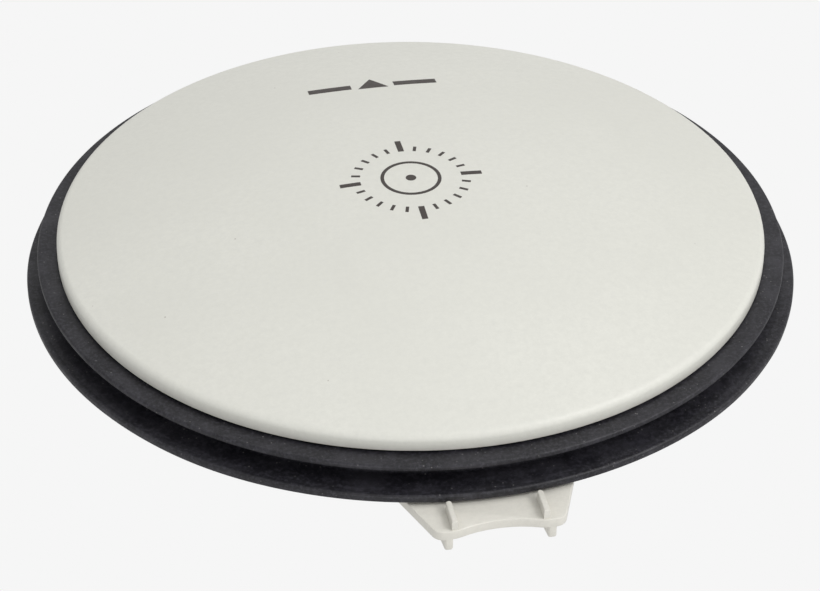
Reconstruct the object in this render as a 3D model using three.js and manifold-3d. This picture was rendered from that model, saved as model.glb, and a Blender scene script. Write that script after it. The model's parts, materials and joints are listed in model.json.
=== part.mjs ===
// A fixed satellite-navigation antenna with a low radome, in millimetres.
// +Z is up and points at the sky. The origin is the centre of the hub's bottom face, where the antenna
// stands on its pole. The index tab points along -Y, and the coax jack is opposite it.
import * as THREE from 'three';
import { mergeVertices } from 'three/addons/utils/BufferGeometryUtils.js';
import Module from 'manifold-3d';

const wasm = await Module();
wasm.setup();

// ---- driving dimensions -------------------------------------------------------------------------

const GAP = 0.3; // clearance between pieces that nest in each other
const CONTACT_GAP = 0.15; // clearance between faces that rest on each other
const WALL_SIDES = 48; // facets of the large rings
const RING_SIDES = 32; // facets of the inner discs
const SMALL_SIDES = 16;
const BORE_SIDES = 20;
const SCREW_SIDES = 8;

const LIP_Z = 37.0; // middle of the lower rubber lip
const LOWER_LIP_RADIUS = 95.2;
const UPPER_LIP_RADIUS = 92.25;
const RADOME_RADIUS = 87.3;
const RADOME_WALL = 2.6;
const CROWN_WALL = 3.0;
const CROWN_TOP_Z = LIP_Z + 24.1;
const SHOULDER_RADIUS = 2.0;
const SHOULDER_Z = LIP_Z + 10.05; // height of the shoulder's arc centre
const RADOME_EDGE_Z = LIP_Z - 1.4; // the radome's bottom edge
const SKIRT_RADIUS = RADOME_RADIUS - 2.2; // the radome's wall inside the bumper
const SKIRT_TOP_Z = LIP_Z + 7.7;
const BUMPER_TOP_Z = LIP_Z + 7.2;
const BUMPER_WAIST_RADIUS = 86.7; // the bottom of the hollow between the two lips
const BEAD_LOW_Z = LIP_Z + 2.0; // the groove that holds the bumper's inner bead
const BEAD_HIGH_Z = LIP_Z + 4.0;
const BEAD_DEPTH = 0.9;
const INNER_SHOULDER = 1.2; // how far the crown's inner face stops short of the inner wall
const COVER_BOSS_HIGH = 12.7; // above the lip's middle, which is inside the crown wall
const COVER_PILOT_RADIUS = 1.6;

const PLATE_TOP_Z = LIP_Z - 1.7; // the base's rim plate, which carries the index tab
const PLATE_THICK = 2.4;
const PLATE_LOW_Z = PLATE_TOP_Z - PLATE_THICK;
const PLATE_RADIUS = 89.6;
const TUB_RIM_RADIUS = 70.0; // where the sloping tub wall meets the rim plate
const TUB_FLOOR_RADIUS = 50.0;
const FLOOR_LOW_Z = 16.0;
const FLOOR_THICK = 2.6;
const FLOOR_TOP_Z = FLOOR_LOW_Z + FLOOR_THICK;
const SPIGOT_OUTER = SKIRT_RADIUS - RADOME_WALL - 0.4;
const SPIGOT_WALL = 2.0;
const SPIGOT_HIGH = 5.7;
const SEAL_Z = PLATE_TOP_Z + 2.7;
const SEAL_SECTION = 0.7;
const SEAL_GROOVE_DEPTH = 1.4;
const SEAL_GROOVE_HALF = 0.9;

const TAB_REACH = 103.9; // distance from the axis to the tab's outer edge
const TAB_HALF_WIDTH = 14.7; // half width at the outer edge, before its corners are rounded
const TAB_FLARE = THREE.MathUtils.degToRad(21);
const TAB_ROOT = 80.0;
const TAB_CORNER = 2.8;
const NOTCH_HALF_CHORD = 10.2;
const NOTCH_DEPTH = 1.9;
const NOTCH_BLEND = 1.6; // length of the soft turn from the flat edge into the notch
const NOTCH_TURN = 0.6; // how deep the notch is at the end of that turn
const TOP_RIB_X = 10.5;
const TOP_RIB_THICK = 1.4;
const TOP_RIB_HIGH = 2.4;
const TOP_RIB_START = 95.9;
const TOP_RIB_END = TAB_REACH - 0.45;
const LEG_X = 11.85;
const LEG_THICK = 1.8;
const LEG_DROP = 3.1;
const LEG_ROOT = 62.0;
const WEB_REACH = 86.5;

const COVER_SCREW_CIRCLE = 76.2;
const COVER_SCREW_COUNT = 8;
const COVER_BOSS_RADIUS = 3.3;
const COVER_HOLE_RADIUS = 2.0;
const COVER_SCREW = { headRadius: 2.9, headHigh: 2.2, shankRadius: 1.45, length: 11 };

const PAN_RADIUS = 72.0;
const PAN_THICK = 1.2;
const PAN_LOW_Z = PLATE_TOP_Z + 0.2;
const PAN_TOP_Z = PAN_LOW_Z + PAN_THICK;
const PAN_RIM_Z = PAN_TOP_Z + 3.4;
const BOARD_RADIUS = 71.0;
const BOARD_THICK = 1.6;
const BOARD_LOW_Z = 43.0;
const BOARD_TOP_Z = BOARD_LOW_Z + BOARD_THICK;
const COPPER_THICK = 0.3;
const STANDOFF_CIRCLE = 64.0;
const STANDOFF_COUNT = 6;
const STANDOFF_RADIUS = 2.9;
const STANDOFF_STUD = { radius: 1.5, length: 5.6 };
const STANDOFF_POST_RADIUS = 3.4;
const STANDOFF_POST_LOW_Z = 31.5;
const STANDOFF_HOLE_RADIUS = 1.8;
const BOARD_SCREW = { headRadius: 2.6, headHigh: 1.6, shankRadius: 1.3, length: 5 };
const SLOT_COUNT = 12;
const SLOT_INNER = 20.0;
const SLOT_OUTER = 56.0;
const SLOT_SWEEP = THREE.MathUtils.degToRad(58);
const SLOT_HALF_WIDTH = 0.8;
const FEED_RING_RADIUS = 45.0;
const FEED_RING_HALF_WIDTH = 1.0;
const FEED_Y = 16.0;
const FEED_COAX_RADIUS = 0.75;
const FOAM_INNER = 20.0;
const FOAM_OUTER = 38.0;
const ABSORBER_INNER = 67.6;

const AMP_WIDTH = 60.0;
const AMP_DEPTH = 44.0;
const AMP_THICK = 1.6;
const AMP_LOW_Z = 24.5;
const AMP_TOP_Z = AMP_LOW_Z + AMP_THICK;
const AMP_POST_X = 26.0;
const AMP_POST_Y = 18.0;
const AMP_POST_RADIUS = 3.2;
const AMP_PILOT_RADIUS = 1.35;
const AMP_HOLE_RADIUS = 1.6;
const AMP_SCREW = { headRadius: 2.4, headHigh: 1.5, shankRadius: 1.2, length: 5 };
const CAN_WIDTH = 42.0;
const CAN_DEPTH = 24.0;
const CAN_HIGH = 5.0;
const CAN_WALL = 0.5;
const CAN_Y = -5.0;

const HUB_RADIUS = 19.0;
const HUB_FLANGE_RADIUS = 28.0;
const HUB_FLANGE_THICK = 3.0;
const HUB_SPIGOT_RADIUS = 13.0;
const HUB_SPIGOT_TOP_Z = 22.0;
const GASKET_THICK = 0.7;
const HUB_FLANGE_TOP_Z = FLOOR_LOW_Z - GASKET_THICK - 2 * CONTACT_GAP;
const HUB_SCREW_CIRCLE = 23.5;
const HUB_SCREW_HOLE_RADIUS = 2.3;
const HUB_SCREW_SEAT = { radius: 4.2, depth: 0.2 };
const HUB_SCREW = { headRadius: 3.6, headHigh: 2.4, shankRadius: 1.9, length: 7 };
const HUB_BOSS_RADIUS = 4.0;
const HUB_BOSS_HIGH = 3.0;
const INSERT_RADIUS = 10.0;
const INSERT_LOW_Z = 0.4;
const INSERT_END_WALL = 1.5;
const SOCKET_DEPTH = 12.6;
const THREAD_MAJOR = 7.94; // 5/8 inch, 11 threads per inch
const THREAD_MINOR = 6.85;
const THREAD_PITCH = 2.309;

const JACK_Y = 40.0;
const JACK_TIP_Z = 3.5;
const JACK_THREAD_RADIUS = 5.5;
const JACK_THREAD_PITCH = 2.4; // coarser than the real 1 mm thread
const JACK_BORE_RADIUS = 4.1;
const JACK_BORE_TOP_Z = 12.5;
const JACK_FACE_RADIUS = 4.9; // outside of the flat tip that a plug seats on
const JACK_FLANGE_RADIUS = 8.0;
const JACK_FLANGE_THICK = 2.2;
const JACK_SEAL = { radius: 6.7, section: 0.35 };
const NUT_RADIUS = 8.2; // across corners
const NUT_THICK = 2.6;
const WASHER_RADIUS = 8.4;
const WASHER_THICK = 0.8;

const VENT_X = 40.0;
const VENT_CAP_RADIUS = 6.0;
const VENT_CAP_THICK = 2.6;
const VENT_STEM_RADIUS = 4.0;
const LABEL_X = -38.5;
const LABEL_WIDTH = 15.0;
const LABEL_LENGTH = 26.0;
const LABEL_THICK = 0.3;

// ---- solids -------------------------------------------------------------------------------------

// A closed geometry as a solid that can be joined and cut.
function solidOf(geometry) {
  const bare = geometry.index ? geometry.toNonIndexed() : geometry.clone();
  bare.deleteAttribute('normal');
  bare.deleteAttribute('uv');
  const merged = mergeVertices(bare, 1e-4);
  return new wasm.Manifold(new wasm.Mesh({
    numProp: 3,
    vertProperties: merged.attributes.position.array,
    triVerts: new Uint32Array(merged.index.array),
  }));
}

// A solid back as a geometry.
function geometryOf(solid) {
  const mesh = solid.getMesh();
  const geometry = new THREE.BufferGeometry();
  geometry.setAttribute('position', new THREE.BufferAttribute(mesh.vertProperties, 3));
  geometry.setIndex(new THREE.BufferAttribute(mesh.triVerts, 1));
  return geometry;
}

// Joins geometries to a first one, then cuts others from it.
function combine(first, joined, cut = []) {
  let solid = solidOf(first);
  for (const piece of joined) solid = solid.add(solidOf(piece));
  for (const piece of cut) solid = solid.subtract(solidOf(piece));
  return geometryOf(solid);
}

// Turns a profile of [radius, z] points round +Z. It runs up the outer side and down the inner side.
function revolve(profile, sides) {
  const points = profile.map(([radius, z]) => new THREE.Vector2(radius, z));
  return new THREE.LatheGeometry(points, sides).rotateX(Math.PI / 2);
}

// A ring of rectangular section, or a disc when the inner radius is zero.
function ring(inner, outer, low, high, sides) {
  if (inner === 0) return revolve([[0, low], [outer, low], [outer, high], [0, high]], sides);
  return revolve([[inner, low], [outer, low], [outer, high], [inner, high], [inner, low]], sides);
}

function rod(radius, x, y, low, high, sides = SCREW_SIDES) {
  return ring(0, radius, low, high, sides).translate(x, y, 0);
}

function block(width, depth, low, high, x = 0, y = 0) {
  return new THREE.BoxGeometry(width, depth, high - low).translate(x, y, (low + high) / 2);
}

// A flat outline in XY, raised from low to high.
function raise(shape, low, high, curveSteps = 6) {
  const options = { depth: high - low, bevelEnabled: false, curveSegments: curveSteps };
  return new THREE.ExtrudeGeometry(shape, options).translate(0, 0, low);
}

// A rib whose outline is given as [distance outwards, z] points. It stands on the -Y side.
function radialRib(outline, thick, x = 0) {
  const shape = new THREE.Shape(outline.map(([reach, z]) => new THREE.Vector2(reach, z)));
  const options = { depth: thick, bevelEnabled: false };
  const rib = new THREE.ExtrudeGeometry(shape, options).translate(0, 0, -thick / 2);
  return rib.rotateX(Math.PI / 2).rotateZ(-Math.PI / 2).translate(x, 0, 0);
}

// Points [x, y] spread evenly on a circle round the axis.
function onCircle(radius, count, firstAngle = 0) {
  const points = [];
  for (let i = 0; i < count; i += 1) {
    const angle = firstAngle + (i / count) * 2 * Math.PI;
    points.push([radius * Math.cos(angle), radius * Math.sin(angle)]);
  }
  return points;
}

// The four points [x, y] of a rectangle round the axis.
function onRectangle(halfWidth, halfDepth) {
  return [[1, 1], [-1, 1], [-1, -1], [1, -1]].map(([i, j]) => [i * halfWidth, j * halfDepth]);
}

// Points [radius, z] on an arc of a profile.
function arc(centreRadius, centreZ, radius, from, to, steps) {
  const points = [];
  for (let i = 0; i <= steps; i += 1) {
    const angle = from + ((to - from) * i) / steps;
    points.push([centreRadius + radius * Math.cos(angle), centreZ + radius * Math.sin(angle)]);
  }
  return points;
}

// The height of the tub wall's outside at a radius.
function tubWallZ(radius) {
  const slope = (PLATE_LOW_Z - FLOOR_LOW_Z) / (TUB_RIM_RADIUS - TUB_FLOOR_RADIUS);
  return FLOOR_LOW_Z + (radius - TUB_FLOOR_RADIUS) * slope;
}

const coverScrewPlaces = onCircle(COVER_SCREW_CIRCLE, COVER_SCREW_COUNT, Math.PI / COVER_SCREW_COUNT);
const standoffPlaces = onCircle(STANDOFF_CIRCLE, STANDOFF_COUNT, 0);
const ampPosts = onRectangle(AMP_POST_X, AMP_POST_Y);
const hubScrewPlaces = onCircle(HUB_SCREW_CIRCLE, 4, Math.PI / 4);

// ---- materials ----------------------------------------------------------------------------------

function finish(color, roughness, metalness = 0) {
  return () => new THREE.MeshStandardMaterial({ color, roughness, metalness });
}

const lightPlastic = finish(0xe2e0d9, 0.5);
const bumperRubber = finish(0x2b2b2e, 0.8);
const sealRubber = finish(0x151515, 0.6);
const stainless = finish(0xb4b4b8, 0.35, 1);
const aluminium = finish(0xbfc1c4, 0.45, 1);
const copper = finish(0xb8714a, 0.35, 1);
const laminate = finish(0xd8d4be, 0.55);
const greenBoard = finish(0x1e5a34, 0.45);
const darkResin = finish(0x1c1c1e, 0.6);
const foam = finish(0xf0efea, 0.95);
const absorber = finish(0x3a3a3c, 0.95);
const nylon = finish(0xe9e6da, 0.6);
const nickel = finish(0xc9c6bd, 0.25, 1);
const gold = finish(0xd9b25a, 0.25, 1);
const clearWhite = finish(0xf4f4f2, 0.4);
const cableJacket = finish(0xb08a5a, 0.5);
const labelFilm = finish(0xcfd0d0, 0.4);

// ---- outer pieces -------------------------------------------------------------------------------

// The crown is a sphere that meets the shoulder's arc smoothly.
function crownSphere(top, rimRadius, rimZ, blend) {
  const rim = rimRadius - blend;
  const drop = rimZ - top;
  const radius = (rim * rim + drop * drop - blend * blend) / (-2 * (drop + blend));
  const contact = Math.atan2(rimZ - (top - radius), rim);
  return { radius, centreZ: top - radius, contact };
}

function radomeShell() {
  const crown = crownSphere(CROWN_TOP_Z, RADOME_RADIUS, SHOULDER_Z, SHOULDER_RADIUS);
  const inner = SKIRT_RADIUS - RADOME_WALL;
  const grooveRadius = SKIRT_RADIUS - BEAD_DEPTH;
  const innerCrown = crown.radius - CROWN_WALL;
  const innerContact = Math.acos((inner - INNER_SHOULDER) / innerCrown);
  const profile = [
    [inner, RADOME_EDGE_Z],
    [SKIRT_RADIUS, RADOME_EDGE_Z],
    [SKIRT_RADIUS, BEAD_LOW_Z],
    [grooveRadius, BEAD_LOW_Z],
    [grooveRadius, BEAD_HIGH_Z],
    [SKIRT_RADIUS, BEAD_HIGH_Z],
    [SKIRT_RADIUS, SKIRT_TOP_Z],
    [RADOME_RADIUS, SKIRT_TOP_Z],
    ...arc(RADOME_RADIUS - SHOULDER_RADIUS, SHOULDER_Z, SHOULDER_RADIUS, 0, crown.contact, 3),
    ...arc(0, crown.centreZ, crown.radius, crown.contact, Math.PI / 2, 6).slice(1, -1),
    [0, CROWN_TOP_Z],
    [0, CROWN_TOP_Z - CROWN_WALL],
    ...arc(0, crown.centreZ, innerCrown, Math.PI / 2, innerContact, 4).slice(1),
    [inner, SHOULDER_Z - 0.6],
    [inner, RADOME_EDGE_Z],
  ];
  const bossTop = LIP_Z + COVER_BOSS_HIGH;
  const bosses = coverScrewPlaces.map(([x, y]) => rod(COVER_BOSS_RADIUS, x, y, RADOME_EDGE_Z, bossTop));
  const pilotLow = RADOME_EDGE_Z - 1;
  const pilots = coverScrewPlaces.map(([x, y]) => rod(COVER_PILOT_RADIUS, x, y, pilotLow, SHOULDER_Z));
  return combine(revolve(profile, WALL_SIDES), bosses, pilots);
}

// The bumper is a spool: an inner bead, a lower lip, a hollow side and a smaller upper lip.
function edgeBumper() {
  const inner = SKIRT_RADIUS + GAP;
  const bead = inner - BEAD_DEPTH;
  const waist = BUMPER_WAIST_RADIUS;
  const low = LOWER_LIP_RADIUS;
  const high = UPPER_LIP_RADIUS;
  return revolve([
    [inner, RADOME_EDGE_Z],
    [low - 0.8, LIP_Z - 0.95],
    [low, LIP_Z - 0.4],
    [low, LIP_Z + 0.4],
    [low - 0.6, LIP_Z + 0.8],
    [waist + 0.7, LIP_Z + 1.4],
    [waist, LIP_Z + 2.2],
    [waist, LIP_Z + 4.7],
    [waist + 0.8, LIP_Z + 5.6],
    [high - 0.3, LIP_Z + 6.05],
    [high, LIP_Z + 6.25],
    [high, LIP_Z + 6.65],
    [high - 0.4, LIP_Z + 7.1],
    [inner, BUMPER_TOP_Z],
    [inner, BEAD_HIGH_Z - GAP],
    [bead, BEAD_HIGH_Z - GAP],
    [bead, BEAD_LOW_Z + GAP],
    [inner, BEAD_LOW_Z + GAP],
    [inner, RADOME_EDGE_Z],
  ], WALL_SIDES);
}

// The tab's outline: flaring sides, rounded outer corners and a shallow notch between the corners.
function tabShape() {
  const slope = Math.tan(TAB_FLARE);
  const rootHalfWidth = TAB_HALF_WIDTH + (TAB_REACH - TAB_ROOT) * slope;
  const cornerRun = TAB_CORNER * Math.tan((Math.PI / 2 - TAB_FLARE) / 2);
  const sideX = TAB_HALF_WIDTH + cornerRun * Math.sin(TAB_FLARE);
  const sideY = -TAB_REACH + cornerRun * Math.cos(TAB_FLARE);
  const notchZero = -TAB_REACH + NOTCH_TURN;
  const notchStart = NOTCH_HALF_CHORD + NOTCH_BLEND;
  const notchBend = NOTCH_HALF_CHORD - NOTCH_BLEND;
  const shape = new THREE.Shape();
  shape.moveTo(-rootHalfWidth, -TAB_ROOT);
  shape.lineTo(-sideX, sideY);
  shape.quadraticCurveTo(-TAB_HALF_WIDTH, -TAB_REACH, -TAB_HALF_WIDTH + cornerRun, -TAB_REACH);
  shape.lineTo(-notchStart, -TAB_REACH);
  shape.quadraticCurveTo(-NOTCH_HALF_CHORD, -TAB_REACH, -notchBend, notchZero);
  shape.quadraticCurveTo(0, -TAB_REACH + 2 * NOTCH_DEPTH - NOTCH_TURN, notchBend, notchZero);
  shape.quadraticCurveTo(NOTCH_HALF_CHORD, -TAB_REACH, notchStart, -TAB_REACH);
  shape.lineTo(TAB_HALF_WIDTH - cornerRun, -TAB_REACH);
  shape.quadraticCurveTo(TAB_HALF_WIDTH, -TAB_REACH, sideX, sideY);
  shape.lineTo(rootHalfWidth, -TAB_ROOT);
  return shape;
}

// An upright rib on the tab's top, with a round inner end in plan.
function topRib(x) {
  const half = TOP_RIB_THICK / 2;
  const shape = new THREE.Shape();
  shape.moveTo(x - half, -TOP_RIB_END);
  shape.lineTo(x + half, -TOP_RIB_END);
  shape.lineTo(x + half, -TOP_RIB_START - half);
  shape.absarc(x, -TOP_RIB_START - half, half, 0, Math.PI, false);
  return raise(shape, PLATE_TOP_Z - 0.5, PLATE_TOP_Z + TOP_RIB_HIGH);
}

// A leg under the tab, which runs inwards as a web to the tub wall.
function leg(x) {
  const tip = PLATE_LOW_Z - LEG_DROP;
  const wallMiddle = tubWallZ(LEG_ROOT) + 1.3;
  return radialRib([
    [LEG_ROOT, wallMiddle],
    [LEG_ROOT + 2, wallMiddle - 1],
    [TAB_REACH - 6, tip - 1.4],
    [TAB_REACH - 0.5, tip],
    [TAB_REACH, tip + 0.5],
    [TAB_REACH, PLATE_LOW_Z + 0.5],
    [TUB_RIM_RADIUS + 2, PLATE_LOW_Z + 0.5],
  ], LEG_THICK, x);
}

// A stiffening web between the tub wall and the rim plate.
function web(angle) {
  return radialRib([
    [LEG_ROOT + 0.5, tubWallZ(LEG_ROOT + 0.5) + 1.4],
    [WEB_REACH - 6.5, PLATE_LOW_Z - 3.9],
    [WEB_REACH, PLATE_LOW_Z],
    [WEB_REACH, PLATE_LOW_Z + 0.5],
    [TUB_RIM_RADIUS + 2, PLATE_LOW_Z + 0.5],
  ], LEG_THICK).rotateZ(angle);
}

function baseHousing() {
  const hole = HUB_SPIGOT_RADIUS + GAP;
  const grooveRadius = SPIGOT_OUTER - SEAL_GROOVE_DEPTH;
  const spigotInner = SPIGOT_OUTER - SPIGOT_WALL;
  const spigotTop = PLATE_TOP_Z + SPIGOT_HIGH;
  const shell = revolve([
    [hole, FLOOR_LOW_Z],
    [TUB_FLOOR_RADIUS, FLOOR_LOW_Z],
    [TUB_RIM_RADIUS, PLATE_LOW_Z],
    [PLATE_RADIUS, PLATE_LOW_Z],
    [PLATE_RADIUS, PLATE_TOP_Z],
    [SPIGOT_OUTER, PLATE_TOP_Z],
    [SPIGOT_OUTER, SEAL_Z - SEAL_GROOVE_HALF],
    [grooveRadius, SEAL_Z - SEAL_GROOVE_HALF],
    [grooveRadius, SEAL_Z + SEAL_GROOVE_HALF],
    [SPIGOT_OUTER, SEAL_Z + SEAL_GROOVE_HALF],
    [SPIGOT_OUTER, spigotTop],
    [spigotInner, spigotTop],
    [spigotInner, PLATE_TOP_Z],
    [TUB_RIM_RADIUS - 1.4, PLATE_TOP_Z],
    [TUB_FLOOR_RADIUS - 1.0, FLOOR_TOP_Z],
    [hole, FLOOR_TOP_Z],
    [hole, FLOOR_LOW_Z],
  ], WALL_SIDES);
  const joined = [raise(tabShape(), PLATE_LOW_Z, PLATE_TOP_Z), leg(-LEG_X), leg(LEG_X)];
  joined.push(topRib(-TOP_RIB_X), topRib(TOP_RIB_X));
  for (let i = 1; i < 8; i += 1) joined.push(web((i * Math.PI) / 4));
  const rods = (places, radius, low, high) => places.map(([x, y]) => rod(radius, x, y, low, high));
  joined.push(
    ...rods(ampPosts, AMP_POST_RADIUS, FLOOR_TOP_Z - 0.5, AMP_LOW_Z - 0.2),
    ...rods(standoffPlaces, STANDOFF_POST_RADIUS, STANDOFF_POST_LOW_Z, PLATE_TOP_Z),
    ...rods(hubScrewPlaces, HUB_BOSS_RADIUS, FLOOR_TOP_Z - 0.5, FLOOR_TOP_Z + HUB_BOSS_HIGH),
  );
  const cut = [
    ...rods(coverScrewPlaces, COVER_HOLE_RADIUS, PLATE_LOW_Z - 1, PLATE_TOP_Z + 1),
    ...rods(ampPosts, AMP_PILOT_RADIUS, FLOOR_TOP_Z, AMP_LOW_Z + 1),
    ...rods(standoffPlaces, STANDOFF_HOLE_RADIUS, STANDOFF_POST_LOW_Z - 2.5, PLATE_TOP_Z + 1),
    ...rods(hubScrewPlaces, HUB_SCREW_HOLE_RADIUS, FLOOR_LOW_Z - 1, FLOOR_TOP_Z + HUB_BOSS_HIGH - 1.2),
    rod(JACK_THREAD_RADIUS + GAP, 0, JACK_Y, FLOOR_LOW_Z - 1, FLOOR_TOP_Z + 1, SMALL_SIDES),
    rod(VENT_STEM_RADIUS + GAP, VENT_X, 0, FLOOR_LOW_Z - 1, FLOOR_TOP_Z + 1, SMALL_SIDES),
  ];
  return combine(shell, joined, cut);
}

// An O-ring round the axis.
function sealRing(radius, section, z, sides, sectionSides = 6) {
  return new THREE.TorusGeometry(radius, section, sectionSides, sides).translate(0, 0, z);
}

// A pan-head screw that points up from its head, with a hexagon recess in the head.
function screw({ headRadius, headHigh, shankRadius, length }) {
  const body = revolve([
    [0, 0],
    [headRadius * 0.85, 0],
    [headRadius, headHigh],
    [shankRadius, headHigh],
    [shankRadius * 0.8, headHigh + length],
    [0, headHigh + length],
  ], SCREW_SIDES);
  return combine(body, [], [ring(0, headRadius * 0.5, -1, headHigh * 0.55, 6)]);
}

// ---- pieces under the radome --------------------------------------------------------------------

// One curved slot, wider than it is deep, as a closed outline that follows a spiral.
function slotPath(startAngle) {
  const steps = 6;
  const left = [];
  const right = [];
  for (let i = 0; i <= steps; i += 1) {
    const share = i / steps;
    const radius = SLOT_INNER + (SLOT_OUTER - SLOT_INNER) * share;
    const angle = startAngle + SLOT_SWEEP * share;
    const lean = Math.atan2(radius * SLOT_SWEEP, SLOT_OUTER - SLOT_INNER);
    const across = angle + lean + Math.PI / 2;
    const x = radius * Math.cos(angle);
    const y = radius * Math.sin(angle);
    const dx = SLOT_HALF_WIDTH * Math.cos(across);
    const dy = SLOT_HALF_WIDTH * Math.sin(across);
    left.push(new THREE.Vector2(x + dx, y + dy));
    right.unshift(new THREE.Vector2(x - dx, y - dy));
  }
  return new THREE.Path([...left, ...right]);
}

// A disc outline with round holes in it.
function discShape(radius, holes, sides) {
  const shape = new THREE.Shape(onCircle(radius, sides).map(([x, y]) => new THREE.Vector2(x, y)));
  for (const [x, y, holeRadius] of holes) {
    const edge = onCircle(holeRadius, SCREW_SIDES).map(([dx, dy]) => new THREE.Vector2(x + dx, y + dy));
    shape.holes.push(new THREE.Path(edge));
  }
  return shape;
}

function slotPlate() {
  const holes = standoffPlaces.map(([x, y]) => [x, y, STANDOFF_HOLE_RADIUS]);
  const shape = discShape(BOARD_RADIUS - 1, holes, RING_SIDES);
  const step = (2 * Math.PI) / SLOT_COUNT;
  for (let i = 0; i < SLOT_COUNT; i += 1) shape.holes.push(slotPath((i + 0.3) * step));
  const low = BOARD_TOP_Z + CONTACT_GAP;
  return raise(shape, low, low + COPPER_THICK);
}

function antennaBoard() {
  const holes = standoffPlaces.map(([x, y]) => [x, y, STANDOFF_HOLE_RADIUS]);
  holes.push([0, FEED_Y, FEED_COAX_RADIUS + CONTACT_GAP]);
  return raise(discShape(BOARD_RADIUS, holes, RING_SIDES), BOARD_LOW_Z, BOARD_TOP_Z);
}

// A copper ring under the board with one straight arm to the feed.
function feedLineRing() {
  const high = BOARD_LOW_Z - CONTACT_GAP;
  const low = high - COPPER_THICK;
  const inner = FEED_RING_RADIUS - FEED_RING_HALF_WIDTH;
  const outer = FEED_RING_RADIUS + FEED_RING_HALF_WIDTH;
  const armLength = inner - FEED_Y + 2;
  const arm = block(2 * FEED_RING_HALF_WIDTH, armLength, low, high, 0, FEED_Y + armLength / 2 - 1);
  return combine(ring(inner, outer, low, high, RING_SIDES), [arm]);
}

function terminationChip() {
  return block(3.2, 1.6, BOARD_LOW_Z - 1.4, BOARD_LOW_Z - 0.8, 0, -FEED_RING_RADIUS);
}

function foamSpacer() {
  return ring(FOAM_INNER, FOAM_OUTER, PAN_TOP_Z + CONTACT_GAP, BOARD_LOW_Z - 0.7, RING_SIDES);
}

function absorberRing() {
  const outer = PAN_RADIUS - PAN_THICK - GAP;
  return ring(ABSORBER_INNER, outer, PAN_TOP_Z + CONTACT_GAP, BOARD_LOW_Z - 1.0, RING_SIDES);
}

function reflectorPan() {
  const rim = revolve([
    [30, PAN_LOW_Z],
    [PAN_RADIUS, PAN_LOW_Z],
    [PAN_RADIUS, PAN_RIM_Z],
    [PAN_RADIUS - PAN_THICK, PAN_RIM_Z],
    [PAN_RADIUS - PAN_THICK, PAN_TOP_Z],
    [30, PAN_TOP_Z],
    [30, PAN_LOW_Z],
  ], WALL_SIDES);
  const centre = ring(0, 31, PAN_LOW_Z, PAN_TOP_Z, RING_SIDES);
  const low = PAN_LOW_Z - 1;
  const high = PAN_TOP_Z + 1;
  const cut = standoffPlaces.map(([x, y]) => rod(STANDOFF_HOLE_RADIUS, x, y, low, high));
  cut.push(rod(2.0, 0, FEED_Y, low, high));
  return combine(rim, [centre], cut);
}

// A six-sided post with a stud below and a threaded hole in its top.
function standoff() {
  const high = BOARD_LOW_Z - PAN_TOP_Z - 2 * CONTACT_GAP;
  const stud = ring(0, STANDOFF_STUD.radius, -STANDOFF_STUD.length, 0.1, SCREW_SIDES);
  const thread = ring(0, BOARD_SCREW.shankRadius + GAP, high - 4.6, high + 1, SCREW_SIDES);
  return combine(ring(0, STANDOFF_RADIUS, 0, high, 6), [stud], [thread]);
}

// A nylon screw that points down from its head.
function boardScrew() {
  return screw(BOARD_SCREW).rotateX(Math.PI);
}

function feedCoax() {
  const high = BOARD_LOW_Z - COPPER_THICK - 0.4;
  return ring(0, FEED_COAX_RADIUS, AMP_TOP_Z + 0.2, high, SCREW_SIDES).translate(0, FEED_Y, 0);
}

// ---- amplifier ----------------------------------------------------------------------------------

function amplifierBoard() {
  const cut = ampPosts.map(([x, y]) => rod(AMP_HOLE_RADIUS, x, y, AMP_LOW_Z - 1, AMP_TOP_Z + 1));
  return combine(block(AMP_WIDTH, AMP_DEPTH, AMP_LOW_Z, AMP_TOP_Z), [], cut);
}

// A thin can that is open below.
function shieldCan() {
  const low = AMP_TOP_Z + CONTACT_GAP;
  const high = low + CAN_HIGH;
  const innerWidth = CAN_WIDTH - 2 * CAN_WALL;
  const innerDepth = CAN_DEPTH - 2 * CAN_WALL;
  const outside = block(CAN_WIDTH, CAN_DEPTH, low, high, 0, CAN_Y);
  const inside = block(innerWidth, innerDepth, low - 1, high - CAN_WALL, 0, CAN_Y);
  return combine(outside, [], [inside]);
}

function chip(width, depth, high, x, y) {
  const low = AMP_TOP_Z + CONTACT_GAP;
  return block(width, depth, low, low + high, x, y);
}

function ampScrew() {
  return screw(AMP_SCREW).rotateX(Math.PI);
}

// The coax from the jack's back, up over the amplifier board's edge and down to the board.
function outputCoax() {
  const route = new THREE.CatmullRomCurve3([
    new THREE.Vector3(0, JACK_Y, FLOOR_TOP_Z + 5.6),
    new THREE.Vector3(0, JACK_Y - 0.6, 27.5),
    new THREE.Vector3(0, JACK_Y - 7, 30.5),
    new THREE.Vector3(0, JACK_Y - 14, 30.5),
    new THREE.Vector3(0, JACK_Y - 20, 29.0),
    new THREE.Vector3(0, JACK_Y - 21, AMP_TOP_Z + 0.3),
  ]);
  const section = new THREE.Shape(onCircle(1.1, 8).map(([x, y]) => new THREE.Vector2(x, y)));
  return new THREE.ExtrudeGeometry(section, { steps: 14, extrudePath: route });
}

// ---- jack and vent ------------------------------------------------------------------------------

// Shallow V grooves along a cylinder, as profile points that run upwards.
function threadProfile(crest, root, low, high, pitch) {
  const points = [];
  const turns = Math.floor((high - low) / pitch);
  for (let i = 0; i < turns; i += 1) {
    points.push([crest, low + i * pitch], [root, low + (i + 0.5) * pitch]);
  }
  points.push([crest, low + turns * pitch], [crest, high]);
  return points;
}

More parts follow.
